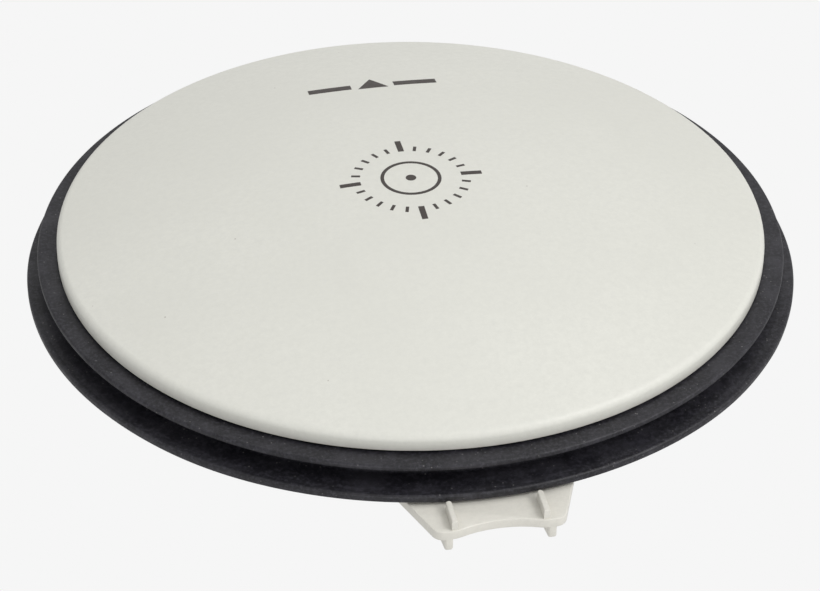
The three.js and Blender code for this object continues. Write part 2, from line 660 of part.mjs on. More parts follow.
function jackBody() {
  const flangeLow = FLOOR_TOP_Z + 0.9;
  const flangeHigh = flangeLow + JACK_FLANGE_THICK;
  const root = JACK_THREAD_RADIUS - 0.5;
  const tail = { outer: 3.0, inner: 1.5, high: flangeHigh + 1.8 };
  const body = revolve([
    [JACK_BORE_RADIUS, JACK_TIP_Z],
    [JACK_FACE_RADIUS, JACK_TIP_Z],
    ...threadProfile(JACK_THREAD_RADIUS, root, JACK_TIP_Z + 0.6, flangeLow, JACK_THREAD_PITCH),
    [JACK_FLANGE_RADIUS, flangeLow],
    [JACK_FLANGE_RADIUS, flangeHigh],
    [tail.outer, flangeHigh],
    [tail.outer, tail.high],
    [tail.inner, tail.high],
    [tail.inner, JACK_BORE_TOP_Z],
    [JACK_BORE_RADIUS, JACK_BORE_TOP_Z],
    [JACK_BORE_RADIUS, JACK_TIP_Z],
  ], SMALL_SIDES);
  return body.translate(0, JACK_Y, 0);
}

function jackInsulator() {
  const low = JACK_TIP_Z + 0.6;
  return ring(0.9, 2.4, low, JACK_BORE_TOP_Z - GAP, SMALL_SIDES).translate(0, JACK_Y, 0);
}

function jackContact() {
  const high = FLOOR_TOP_Z + 5.3;
  const pin = ring(0, 0.6, JACK_TIP_Z + 1.2, high, SCREW_SIDES);
  return combine(pin, [], [ring(0, 0.35, JACK_TIP_Z, JACK_TIP_Z + 6, SCREW_SIDES)]).translate(0, JACK_Y, 0);
}

function jackNut() {
  const high = FLOOR_LOW_Z - 1.1;
  const nut = ring(0, NUT_RADIUS, high - NUT_THICK, high, 6);
  const hole = ring(0, JACK_THREAD_RADIUS + 0.2, high - 4, high + 1, SMALL_SIDES);
  return combine(nut, [], [hole]).translate(0, JACK_Y, 0);
}

function jackWasher() {
  const high = FLOOR_LOW_Z - CONTACT_GAP;
  const hole = JACK_THREAD_RADIUS + 0.2;
  return ring(hole, WASHER_RADIUS, high - WASHER_THICK, high, SMALL_SIDES).translate(0, JACK_Y, 0);
}

function ventPlug() {
  const low = FLOOR_LOW_Z - VENT_CAP_THICK;
  const capHigh = FLOOR_LOW_Z - CONTACT_GAP;
  const mouth = 1.6;
  const bore = 2.6;
  const boreLow = low + 1.2;
  const stemHigh = FLOOR_TOP_Z + 1.4;
  return revolve([
    [mouth, low],
    [VENT_CAP_RADIUS, low],
    [VENT_CAP_RADIUS, capHigh],
    [VENT_STEM_RADIUS, capHigh],
    [VENT_STEM_RADIUS, stemHigh],
    [bore, stemHigh],
    [bore, boreLow],
    [mouth, boreLow],
    [mouth, low],
  ], SMALL_SIDES).translate(VENT_X, 0, 0);
}

function ventMembrane() {
  const low = FLOOR_LOW_Z - 1.2;
  return rod(2.4, VENT_X, 0, low, low + GAP, SMALL_SIDES);
}

function labelPlate() {
  const high = FLOOR_LOW_Z - 0.1;
  return block(LABEL_WIDTH, LABEL_LENGTH, high - LABEL_THICK, high, LABEL_X, 0);
}

// ---- pole mount ---------------------------------------------------------------------------------

function mountingHub() {
  const flangeLow = HUB_FLANGE_TOP_Z - HUB_FLANGE_THICK;
  const bore = INSERT_RADIUS + CONTACT_GAP;
  const boreTop = SOCKET_DEPTH + INSERT_END_WALL + GAP;
  const chamfer = 0.8;
  const body = revolve([
    [bore, 0],
    [HUB_RADIUS - chamfer, 0],
    [HUB_RADIUS, chamfer],
    [HUB_RADIUS, flangeLow],
    [HUB_FLANGE_RADIUS, flangeLow],
    [HUB_FLANGE_RADIUS, HUB_FLANGE_TOP_Z],
    [HUB_SPIGOT_RADIUS, HUB_FLANGE_TOP_Z],
    [HUB_SPIGOT_RADIUS, HUB_SPIGOT_TOP_Z],
    [0, HUB_SPIGOT_TOP_Z],
    [0, boreTop],
    [bore, boreTop],
    [bore, 0],
  ], RING_SIDES);
  const seatZ = flangeLow + HUB_SCREW_SEAT.depth;
  const cut = [];
  for (const [x, y] of hubScrewPlaces) {
    cut.push(rod(HUB_SCREW_HOLE_RADIUS, x, y, flangeLow - 1, HUB_FLANGE_TOP_Z + 1));
    cut.push(rod(HUB_SCREW_SEAT.radius, x, y, seatZ - 5, seatZ, SMALL_SIDES));
  }
  return combine(body, [], cut);
}

// A threaded bush. Its thread is a row of V grooves at the thread's pitch.
function hubInsert() {
  const high = SOCKET_DEPTH + INSERT_END_WALL;
  const groove = threadProfile(THREAD_MINOR, THREAD_MAJOR, INSERT_LOW_Z + 0.6, SOCKET_DEPTH, THREAD_PITCH);
  return revolve([
    [THREAD_MAJOR, INSERT_LOW_Z],
    [INSERT_RADIUS, INSERT_LOW_Z],
    [INSERT_RADIUS, high],
    [0, high],
    [0, SOCKET_DEPTH],
    ...groove.reverse(),
    [THREAD_MAJOR, INSERT_LOW_Z],
  ], BORE_SIDES);
}

function hubGasket() {
  const low = HUB_FLANGE_TOP_Z + CONTACT_GAP;
  const cut = hubScrewPlaces.map(([x, y]) => rod(HUB_SCREW_HOLE_RADIUS + 0.2, x, y, low - 1, low + 2));
  const disc = ring(HUB_SPIGOT_RADIUS + GAP, HUB_FLANGE_RADIUS, low, low + GASKET_THICK, RING_SIDES);
  return combine(disc, [], cut);
}

// ---- assembly -----------------------------------------------------------------------------------

const group = new THREE.Group();

function place(name, geometry, material, x = 0, y = 0, z = 0) {
  const mesh = new THREE.Mesh(geometry, material());
  mesh.name = name;
  mesh.position.set(x, y, z);
  group.add(mesh);
}

// Places one copy of a piece at each place, with names that count from 1.
function placeEach(name, make, material, places, z) {
  places.forEach(([x, y], i) => place(`${name}_${i + 1}`, make(), material, x, y, z));
}

place('radome_shell', radomeShell(), lightPlastic);
place('edge_bumper', edgeBumper(), bumperRubber);
place('base_housing', baseHousing(), lightPlastic);
place('cover_seal_ring', sealRing(SPIGOT_OUTER - 0.45, SEAL_SECTION, SEAL_Z, WALL_SIDES), sealRubber);

const coverScrewZ = PLATE_LOW_Z - COVER_SCREW.headHigh - CONTACT_GAP;
placeEach('cover_screw', () => screw(COVER_SCREW), stainless, coverScrewPlaces, coverScrewZ);

place('slot_plate', slotPlate(), copper);
place('antenna_board', antennaBoard(), laminate);
place('feed_line_ring', feedLineRing(), copper);
place('termination_chip', terminationChip(), darkResin);
place('foam_spacer', foamSpacer(), foam);
place('absorber_ring', absorberRing(), absorber);
place('reflector_pan', reflectorPan(), aluminium);
place('feed_coax', feedCoax(), cableJacket);
placeEach('standoff', standoff, stainless, standoffPlaces, PAN_TOP_Z + CONTACT_GAP);
const boardHeadTop = BOARD_TOP_Z + COPPER_THICK + 3 * CONTACT_GAP + BOARD_SCREW.headHigh;
placeEach('board_screw', boardScrew, nylon, standoffPlaces, boardHeadTop);

place('amplifier_board', amplifierBoard(), greenBoard);
place('shield_can', shieldCan(), nickel);
place('amplifier_chip', chip(5, 5, 1.2, -12, CAN_Y), darkResin);
place('regulator_chip', chip(6.5, 3.5, 1.6, 13, CAN_Y + 5), darkResin);
place('filter_block_1', chip(7, 6, 3.2, -2, CAN_Y - 4), nickel);
place('filter_block_2', chip(7, 6, 3.2, -2, CAN_Y + 5), nickel);
const ampScrewTop = AMP_TOP_Z + CONTACT_GAP + AMP_SCREW.headHigh;
placeEach('amplifier_screw', ampScrew, stainless, ampPosts, ampScrewTop);
place('output_coax', outputCoax(), cableJacket);

place('jack_body', jackBody(), nickel);
place('jack_insulator', jackInsulator(), clearWhite);
place('jack_contact', jackContact(), gold);
const jackSeal = sealRing(JACK_SEAL.radius, JACK_SEAL.section, FLOOR_TOP_Z + 0.45, SMALL_SIDES);
place('jack_seal_ring', jackSeal, sealRubber, 0, JACK_Y, 0);
place('jack_washer', jackWasher(), stainless);
place('jack_nut', jackNut(), nickel);
place('vent_plug', ventPlug(), darkResin);
place('vent_membrane', ventMembrane(), clearWhite);
place('label_plate', labelPlate(), labelFilm);

place('mounting_hub', mountingHub(), aluminium);
place('hub_insert', hubInsert(), stainless);
place('hub_gasket', hubGasket(), sealRubber);
const hubSeatZ = HUB_FLANGE_TOP_Z - HUB_FLANGE_THICK + HUB_SCREW_SEAT.depth;
const hubScrewZ = hubSeatZ - HUB_SCREW.headHigh - CONTACT_GAP;
placeEach('hub_screw', () => screw(HUB_SCREW), stainless, hubScrewPlaces, hubScrewZ);

export default group;
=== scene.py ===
"""A satellite-navigation antenna with a low radome, a double-lipped rubber edge and an index tab.

Lengths in this script are in millimetres and are turned into Blender's metres when a mesh is made.
+Z is up, the index tab points along -Y, and the origin is the centre of the pole mount's underside.
"""
import json
import math

import bmesh
import bpy
from mathutils import Matrix, Vector


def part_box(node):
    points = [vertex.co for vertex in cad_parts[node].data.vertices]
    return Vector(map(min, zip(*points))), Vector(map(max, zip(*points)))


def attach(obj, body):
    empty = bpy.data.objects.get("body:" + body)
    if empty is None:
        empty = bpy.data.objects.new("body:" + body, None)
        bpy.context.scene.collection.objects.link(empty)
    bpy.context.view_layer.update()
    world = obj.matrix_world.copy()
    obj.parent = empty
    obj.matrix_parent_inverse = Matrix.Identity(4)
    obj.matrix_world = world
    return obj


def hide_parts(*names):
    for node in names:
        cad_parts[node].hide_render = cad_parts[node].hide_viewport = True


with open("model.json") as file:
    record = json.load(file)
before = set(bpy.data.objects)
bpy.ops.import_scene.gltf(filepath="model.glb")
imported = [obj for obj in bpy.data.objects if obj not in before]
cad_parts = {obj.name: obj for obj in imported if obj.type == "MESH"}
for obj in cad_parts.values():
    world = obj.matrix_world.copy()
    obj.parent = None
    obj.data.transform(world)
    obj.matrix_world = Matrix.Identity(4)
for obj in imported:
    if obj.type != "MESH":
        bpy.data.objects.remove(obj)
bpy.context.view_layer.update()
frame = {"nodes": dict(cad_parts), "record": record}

MM = 0.001


def corners(node):
    """The low and high corners of a CAD node's box, in millimetres."""
    low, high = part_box(node)
    return low / MM, high / MM


# ---- sizes read from the frame, and the shapes' own driving sizes --------------------------------

bumper_low, bumper_high = corners("edge_bumper")
radome_low, radome_high = corners("radome_shell")
base_low, base_high = corners("base_housing")
hub_high = corners("mounting_hub")[1]
insert_low, insert_high = corners("hub_insert")
jack_low, jack_high = corners("jack_body")
nut_low, nut_high = corners("jack_nut")
washer_low, washer_high = corners("jack_washer")
vent_low, vent_high = corners("vent_plug")
label_low, label_high = corners("label_plate")
gasket_low = corners("hub_gasket")[0]

ON_AXIS = 1e-6  # a radius below this is a point on the axis
ROUND = 256  # steps round a large ring

GAP = 0.3  # clearance between the rubber and the radome's skirt
LIP_RADIUS = bumper_high.x
UPPER_LIP_RADIUS = LIP_RADIUS - 2.95
LIP_Z = bumper_low.z + 1.4
BUMPER_TOP_Z = LIP_Z + 7.2
RADOME_RADIUS = radome_high.x
RADOME_WALL = 2.6
SKIRT_RADIUS = RADOME_RADIUS - 2.2
SKIRT_TOP_Z = LIP_Z + 7.7
WAIST_RADIUS = 86.7
CROWN_WALL = 3.0
CROWN_TOP_Z = radome_high.z
SHOULDER_RADIUS = 2.0
SHOULDER_Z = LIP_Z + 10.05
BEAD_DEPTH = 0.9
BEAD_LOW_Z = LIP_Z + 2.0
BEAD_HIGH_Z = LIP_Z + 4.0

PLATE_TOP_Z = LIP_Z - 1.7
PLATE_LOW_Z = PLATE_TOP_Z - 2.4
PLATE_RADIUS = base_high.x
FLOOR_LOW_Z = base_low.z
FLOOR_TOP_Z = FLOOR_LOW_Z + 2.6
TUB_RIM_RADIUS = 70.0
TUB_FLOOR_RADIUS = 50.0
SPIGOT_OUTER = SKIRT_RADIUS - RADOME_WALL - 0.4

TAB_REACH = -base_low.y
TAB_HALF_WIDTH = 14.7
TAB_FLARE = math.radians(21)
TAB_CORNER = 2.8
TAB_BEVEL = 0.28
TAB_INSET = 0.001  # keeps the tab's faces off the plate's own
TAB_ROOT = 80.0
NOTCH_RADIUS = 28.2
NOTCH_DEPTH = 1.85
NOTCH_BLEND = 2.2
TOP_RIB_X = 10.5
TOP_RIB_THICK = 1.4
TOP_RIB_HIGH = 2.4
TOP_RIB_BEVEL = 0.32
TOP_RIB_START = 95.9
TOP_RIB_END = TAB_REACH - 0.45
LEG_X = 11.85
LEG_THICK = 1.9
LEG_DROP = 3.1

WEB_COUNT = 8  # the place of the first is taken by the legs
WEB_THICK = 1.6
WEB_ROOT = 72.0
WEB_REACH = 86.5
BASE_HOLE_RADIUS = 13.3
SPIGOT_WALL = 2.0
SPIGOT_HIGH = 5.7
SEAL_GROOVE_DEEP = 1.4
SEAL_GROOVE_RISE = 2.7
SEAL_GROOVE_HALF = 0.9
BOARD_POST_CIRCLE = 64.0
BOARD_POST_COUNT = 6
BOARD_POST_RADIUS = 3.4
BOARD_POST_LOW_Z = 31.5
BOARD_POST_HOLE = 1.8
AMPLIFIER_POSTS = ((26, 18), (-26, 18), (-26, -18), (26, -18))
AMPLIFIER_POST_RADIUS = 3.2
AMPLIFIER_POST_TOP_Z = 24.3
AMPLIFIER_POST_HOLE = 1.35
HUB_BOSS_RADIUS = 4.0
HUB_BOSS_HIGH = 3.0
JACK_HOLE_RADIUS = 5.8
VENT_HOLE_RADIUS = 4.3
PAST = 2  # how far a cutting tool reaches past the surface

COVER_SCREW_CIRCLE = 76.2
COVER_SCREW_COUNT = 8
COVER_HOLE_RADIUS = 2.0
HUB_SCREW_CIRCLE = 23.5
HUB_SCREW_COUNT = 4
HUB_HOLE_RADIUS = 2.3
THREAD_PITCH = 2.309
THREAD_MAJOR = 7.94
THREAD_MINOR = 6.85


# ---- profiles and outlines -----------------------------------------------------------------------

FILLET_SHARE = 0.49  # the part of an edge that one fillet may take up


def rounded(corner_list, closed=True, steps=6):
    """A line through (a, b, fillet) corners, with an arc at each corner that has a fillet."""
    count = len(corner_list)
    line = []
    for i, (a, b, fillet) in enumerate(corner_list):
        here = Vector((a, b))
        at_end = not closed and i in (0, count - 1)
        if fillet <= 0 or at_end:
            line.append((a, b))
            continue
        before = Vector(corner_list[i - 1][:2])
        after = Vector(corner_list[(i + 1) % count][:2])
        to_before = before - here
        to_after = after - here
        angle = to_before.angle(to_after)
        wanted = fillet / math.tan(angle / 2)
        reach = min(wanted, to_before.length * FILLET_SHARE, to_after.length * FILLET_SHARE)
        radius = reach * math.tan(angle / 2)
        start = here + to_before.normalized() * reach
        end = here + to_after.normalized() * reach
        middle = (to_before.normalized() + to_after.normalized()).normalized()
        centre = here + middle * math.hypot(radius, reach)
        turn_start = math.atan2(start.y - centre.y, start.x - centre.x)
        turn = math.atan2(end.y - centre.y, end.x - centre.x) - turn_start
        turn = (turn + math.pi) % (2 * math.pi) - math.pi
        for k in range(steps + 1):
            at = turn_start + turn * k / steps
            line.append((centre.x + radius * math.cos(at), centre.y + radius * math.sin(at)))
    return line


def arc(centre_a, centre_b, radius, start, end, steps):
    """Points on an arc, from one angle to another."""
    points = []
    for k in range(steps + 1):
        at = start + (end - start) * k / steps
        points.append((centre_a + radius * math.cos(at), centre_b + radius * math.sin(at)))
    return points


def shade(piece, sharp=35):
    """Smooth shading, except across edges sharper than the given degrees."""
    piece.data.shade_smooth()
    piece.data.set_sharp_from_angle(angle=math.radians(sharp))


def linked(name, mesh, sharp=35):
    """A shaded object of the mesh, in the scene."""
    piece = bpy.data.objects.new(name, mesh)
    bpy.context.scene.collection.objects.link(piece)
    shade(piece, sharp)
    return piece


def mesh_object(name, vertices, faces, sharp=35):
    """A new object from millimetre vertices."""
    mesh = bpy.data.meshes.new(name)
    mesh.from_pydata([Vector(v) * MM for v in vertices], [], faces)
    mesh.update()
    return linked(name, mesh, sharp)


def add_ring(vertices, radius, z, steps, centre, first=0.0, shift=None):
    """Adds a level ring of vertices, or one on the axis, and returns an index for each step."""
    if radius < ON_AXIS:
        vertices.append((centre[0], centre[1], z))
        return [len(vertices) - 1] * steps
    ring = []
    for k in range(steps):
        angle = 2 * math.pi * k / steps - first
        reach, height = shift(angle, radius, z) if shift else (radius, z)
        ring.append(len(vertices))
        x = centre[0] + reach * math.cos(angle)
        y = centre[1] + reach * math.sin(angle)
        vertices.append((x, y, height))
    return ring


def skin(ring_pairs, steps):
    """Faces between pairs of rings, without the repeated corners where a ring is a single point."""
    faces = []
    for low, high in ring_pairs:
        for k in range(steps):
            n = (k + 1) % steps
            quad = [low[k], low[n], high[n], high[k]]
            face = [v for i, v in enumerate(quad) if v != quad[i - 1]]
            if len(face) > 2:
                faces.append(face)
    return faces


def revolve(name, profile, steps=ROUND, centre=(0, 0), shift=None, sharp=35):
    """Turns a closed (radius, z) profile round Z. shift(angle, radius, z) may move each point."""
    vertices = []
    rings = []
    for radius, z in profile:
        rings.append(add_ring(vertices, radius, z, steps, centre, math.pi / 2, shift))
    pairs = list(zip(rings, rings[1:]))
    starts_on_axis = profile[0][0] < ON_AXIS
    ends_on_axis = profile[-1][0] < ON_AXIS
    if not (starts_on_axis and ends_on_axis):
        pairs.append((rings[-1], rings[0]))
    return mesh_object(name, vertices, skin(pairs, steps), sharp)


def stack(name, rings, steps, centre=(0, 0), sharp=35):
    """A solid of (radius, z) rings, closed at both ends. A radius may be a function of angle."""
    vertices = [(centre[0], centre[1], rings[0][1])]
    loops = []
    for radius, z in rings:
        loop = []
        for k in range(steps):
            angle = 2 * math.pi * k / steps
            reach = radius(angle) if callable(radius) else radius
            loop.append(len(vertices))
            x = centre[0] + reach * math.cos(angle)
            y = centre[1] + reach * math.sin(angle)
            vertices.append((x, y, z))
        loops.append(loop)
    top = len(vertices)
    vertices.append((centre[0], centre[1], rings[-1][1]))
    faces = []
    for k in range(steps):
        n = (k + 1) % steps
        faces.append((0, loops[0][n], loops[0][k]))
        faces.append((top, loops[-1][k], loops[-1][n]))
        for low, high in zip(loops, loops[1:]):
            faces.append((low[k], low[n], high[n], high[k]))
    return mesh_object(name, vertices, faces, sharp)


def hexagon(corner_radius):
    """A function that gives the radius of a hexagon at an angle."""
    flat = corner_radius * math.cos(math.pi / 6)

    def radius(angle):
        return flat / math.cos((angle + math.pi / 6) % (math.pi / 3) - math.pi / 6)
    return radius


def slab(name, outline, low, high, bevel, segments=3):
    """A flat outline in XY raised from low to high, with rounded top and bottom edges."""
    made = bmesh.new()
    bottom = made.faces.new([made.verts.new((x, y, low)) for x, y in outline])
    grown = bmesh.ops.extrude_face_region(made, geom=[bottom])
    raised = [v for v in grown["geom"] if isinstance(v, bmesh.types.BMVert)]
    bmesh.ops.translate(made, verts=raised, vec=(0, 0, high - low))
    bmesh.ops.recalc_face_normals(made, faces=made.faces)
    if bevel > 0:
        rims = [e for e in made.edges if abs(e.verts[0].co.z - e.verts[1].co.z) < 1e-6]
        bmesh.ops.bevel(
            made, geom=rims, offset=bevel, segments=segments, profile=0.5, affect="EDGES")
    return from_bmesh(name, made)


def from_bmesh(name, made):
    """An object from a bmesh in millimetres."""
    bmesh.ops.scale(made, vec=(MM, MM, MM), verts=made.verts)
    bmesh.ops.recalc_face_normals(made, faces=made.faces)
    mesh = bpy.data.meshes.new(name)
    made.to_mesh(mesh)
    made.free()
    return linked(name, mesh)


def upright(name, outline, thick, x, bevel):
    """A plate that stands in the YZ plane at x. Its outline is a list of (distance outwards, z)."""
    piece = slab(name, outline, -thick / 2, thick / 2, bevel)
    piece.data.transform(Matrix(((0, 0, 1, x * MM), (-1, 0, 0, 0), (0, 1, 0, 0), (0, 0, 0, 1))))
    return piece


def combine(first, others, operation):
    """Joins the others to the first object, or cuts them from it, and removes them."""
    for other in others:
        modifier = first.modifiers.new("join", "BOOLEAN")
        modifier.operation = operation
        modifier.solver = "MANIFOLD"
        modifier.object = other
        settled = first.evaluated_get(bpy.context.evaluated_depsgraph_get())
        mesh = bpy.data.meshes.new_from_object(settled)
        first.modifiers.clear()
        first.data = mesh
        bpy.data.objects.remove(other)
    shade(first, 30)
    return first


def on_circle(radius, count, first=0.0):
    """Places evenly round a circle, from the angle of the first."""
    places = []
    for i in range(count):
        angle = first + 2 * math.pi * i / count
        places.append((radius * math.cos(angle), radius * math.sin(angle)))
    return places


def pegs(places, radius, low, high, steps=32):
    """Plain round pegs, to be joined to a piece or to cut holes in it."""
    profile = [(0, low), (radius, low), (radius, high), (0, high)]
    return [revolve("peg", profile, steps, place) for place in places]


# ---- materials -----------------------------------------------------------------------------------

RADOME_LIGHT = (0.782, 0.780, 0.719)
RADOME_SHADE = (0.752, 0.750, 0.690)
BASE_LIGHT = (0.80, 0.78, 0.712)
BASE_SHADE = (0.77, 0.75, 0.682)
SPECK = (0.36, 0.33, 0.29)
# the tone of the mottled darker band at a piece's low edge
LOW_EDGE_TONE = (0.42, 0.40, 0.36)
DUST = (0.14, 0.135, 0.135)


class Paint:
    """A Principled material with short calls for the nodes that give it its detail."""

    def __init__(self, name, roughness=0.5, metallic=0.0):
        self.material = bpy.data.materials.new(name)
        self.material.use_nodes = True
        self.nodes = self.material.node_tree.nodes
        self.links = self.material.node_tree.links
        self.shader = next(n for n in self.nodes if n.type == "BSDF_PRINCIPLED")
        self.shader.inputs["Roughness"].default_value = roughness
        self.shader.inputs["Metallic"].default_value = metallic
        self.place = self.nodes.new("ShaderNodeTexCoord").outputs["Object"]

    def stretched(self, x, y, z):
        """The object's coordinates, scaled along each axis."""
        mapping = self.nodes.new("ShaderNodeMapping")
        mapping.inputs["Scale"].default_value = (x, y, z)
        self.links.new(self.place, mapping.inputs["Vector"])
        return mapping.outputs["Vector"]

    def noise(self, size, detail=3.0, rough=0.5, at=None):
        """Noise whose features are about size millimetres across."""
        node = self.nodes.new("ShaderNodeTexNoise")
        node.inputs["Scale"].default_value = 1 / (size * MM)
        node.inputs["Detail"].default_value = detail
        node.inputs["Roughness"].default_value = rough
        self.links.new(at or self.place, node.inputs["Vector"])
        return node.outputs["Fac"]

    def dots(self, size):
        """The distance to the nearest of scattered points, about size millimetres apart."""
        node = self.nodes.new("ShaderNodeTexVoronoi")
        node.inputs["Scale"].default_value = 1 / (size * MM)
        self.links.new(self.place, node.inputs["Vector"])
        return node.outputs["Distance"]

    def ramp(self, value, low, high, dark=0.0, bright=1.0):
        """The value, with low to high stretched to dark to bright and held outside that."""
        node = self.nodes.new("ShaderNodeMapRange")
        node.inputs["From Min"].default_value = low
        node.inputs["From Max"].default_value = high
        node.inputs["To Min"].default_value = dark
        node.inputs["To Max"].default_value = bright
        self.links.new(value, node.inputs["Value"])
        return node.outputs["Result"]

    def multiply(self, a, b):
        node = self.nodes.new("ShaderNodeMath")
        node.operation = "MULTIPLY"
        self.links.new(a, node.inputs[0])
        self.links.new(b, node.inputs[1])
        return node.outputs["Value"]

    def mix(self, share, a, b):
        """Colour a where share is 0 and b where it is 1. Each is a colour or a node's output."""
        node = self.nodes.new("ShaderNodeMix")
        node.data_type = "RGBA"
        self.links.new(share, node.inputs["Factor"])
        for index, value in ((6, a), (7, b)):
            if isinstance(value, tuple):
                node.inputs[index].default_value = (*value, 1.0)
            else:
                self.links.new(value, node.inputs[index])
        return node.outputs[2]

    def height(self):
        """The object's Z in metres."""
        node = self.nodes.new("ShaderNodeSeparateXYZ")
        self.links.new(self.place, node.inputs["Vector"])
        return node.outputs["Z"]

    def colour(self, value):
        self.links.new(value, self.shader.inputs["Base Color"])

    def rough(self, value):
        self.links.new(value, self.shader.inputs["Roughness"])

    def bump(self, value, strength, depth):
        """Relief of about depth millimetres."""
        node = self.nodes.new("ShaderNodeBump")
        node.inputs["Strength"].default_value = strength
        node.inputs["Distance"].default_value = depth * MM
        self.links.new(value, node.inputs["Height"])
        self.links.new(node.outputs["Normal"], self.shader.inputs["Normal"])


def scaled(colour, factor):
    return tuple(factor * channel for channel in colour)


def moulded_plastic(name, light, shade_colour, edge_band_low, edge_band_high, mottled_by=0.955, rough=0.42):
    """Light grey moulded plastic: fine grain, faint smudges, dark specks, and a mottled darker band
    at its low edge.

    The band is full up to the lower of the two given heights, and gone at the higher.
    """
    paint = Paint(name)
    cloud = paint.ramp(paint.noise(55, 2), 0.35, 0.65)
    body = paint.mix(cloud, shade_colour, light)
    mottle = paint.ramp(paint.noise(1.5, 4, 0.75), 0.3, 0.7, 0.0, 0.9)
    mottled = paint.mix(mottle, body, scaled(shade_colour, mottled_by))
    streaks = paint.noise(16, 4, 0.6, paint.stretched(1.0, 0.45, 1.0))
    smudge = paint.ramp(streaks, 0.60, 0.78, 0.0, 0.35)
    smudged = paint.mix(smudge, mottled, scaled(shade_colour, 0.93))
    near = paint.ramp(paint.dots(7.5), 0.020, 0.034, 0.8, 0.0)
    some = paint.ramp(paint.noise(9, 1), 0.52, 0.58)
    specks = paint.multiply(near, some)
    specked = paint.mix(specks, smudged, SPECK)
    # a mottled darker band towards the piece's low edge, fading out upwards
    low_band = paint.ramp(paint.height(), edge_band_low * MM, edge_band_high * MM, 0.5, 0.0)
    low_darkening = paint.multiply(low_band, paint.ramp(paint.noise(5, 4), 0.35, 0.7, 0.45, 1.0))
    paint.colour(paint.mix(low_darkening, specked, LOW_EDGE_TONE))
    paint.rough(paint.ramp(paint.noise(2.0, 3), 0.3, 0.7, rough, rough + 0.1))
    edge = paint.ramp(paint.height(), edge_band_low * MM, (edge_band_high + 2.5) * MM, 1.0, 0.3)
    grain = paint.multiply(paint.noise(0.7, 3, 0.6), edge)
    paint.bump(grain, 0.5, 0.16)
    return paint.material


def moulded_rubber(name, dark, pale, grain=0.5):
    """Black moulded rubber: matte, mottled with paler bloom, and sprinkled with dust."""
    paint = Paint(name)
    bloom = paint.ramp(paint.noise(9, 5, 0.7), 0.46, 0.66)
    body = paint.mix(bloom, dark, pale)
    powder = paint.ramp(paint.noise(0.9, 4, 0.75), 0.46, 0.70, 0.0, 0.9)
    powdered = paint.mix(powder, body, scaled(pale, 2.0))
    near = paint.ramp(paint.dots(1.3), 0.09, 0.18, 1.0, 0.0)
    some = paint.ramp(paint.noise(4, 3), 0.48, 0.62)
    dust = paint.multiply(near, some)
    paint.colour(paint.mix(dust, powdered, DUST))
    paint.rough(paint.ramp(paint.noise(6, 4), 0.3, 0.7, 0.42, 0.58))
    paint.bump(paint.noise(grain, 3, 0.65), 0.35, 0.06)
    return paint.material


def printed_ink(name, ink, worn):
    """Screen-printed ink with a slightly broken edge and pinholes."""
    paint = Paint(name, roughness=0.45)
    near = paint.ramp(paint.dots(1.1), 0.10, 0.16, 1.0, 0.0)
    some = paint.ramp(paint.noise(3, 2), 0.56, 0.64)
    paint.colour(paint.mix(paint.multiply(near, some), ink, worn))
    paint.rough(paint.ramp(paint.noise(1.5, 2), 0.3, 0.7, 0.4, 0.55))
    paint.bump(paint.noise(0.4, 2), 0.15, 0.02)
    return paint.material


def worked_metal(name, light, dark, low_rough, high_rough, stretch=(1, 1, 1), relief=0.01):
    """Bare or plated metal with fine tool marks and slight tarnish."""
    paint = Paint(name, roughness=low_rough, metallic=1.0)
    tarnish = paint.ramp(paint.noise(7, 4), 0.35, 0.7)
    paint.colour(paint.mix(tarnish, light, dark))
    marks = paint.noise(0.5, 3, 0.6, paint.stretched(*stretch))
    paint.rough(paint.ramp(marks, 0.3, 0.7, low_rough, high_rough))
    paint.bump(marks, 0.3, relief)
    return paint.material


def plain_solid(name, light, dark, low_rough, high_rough, size, grain, relief=0.02):
    """A board, resin, foam or film: gentle mottling, and grain in its roughness and relief."""
    paint = Paint(name, roughness=low_rough)
    paint.colour(paint.mix(paint.ramp(paint.noise(size, 4), 0.35, 0.65), light, dark))
    paint.rough(paint.ramp(paint.noise(size / 3, 3), 0.3, 0.7, low_rough, high_rough))
    paint.bump(paint.noise(grain, 3), 0.3, relief)
    return paint.material


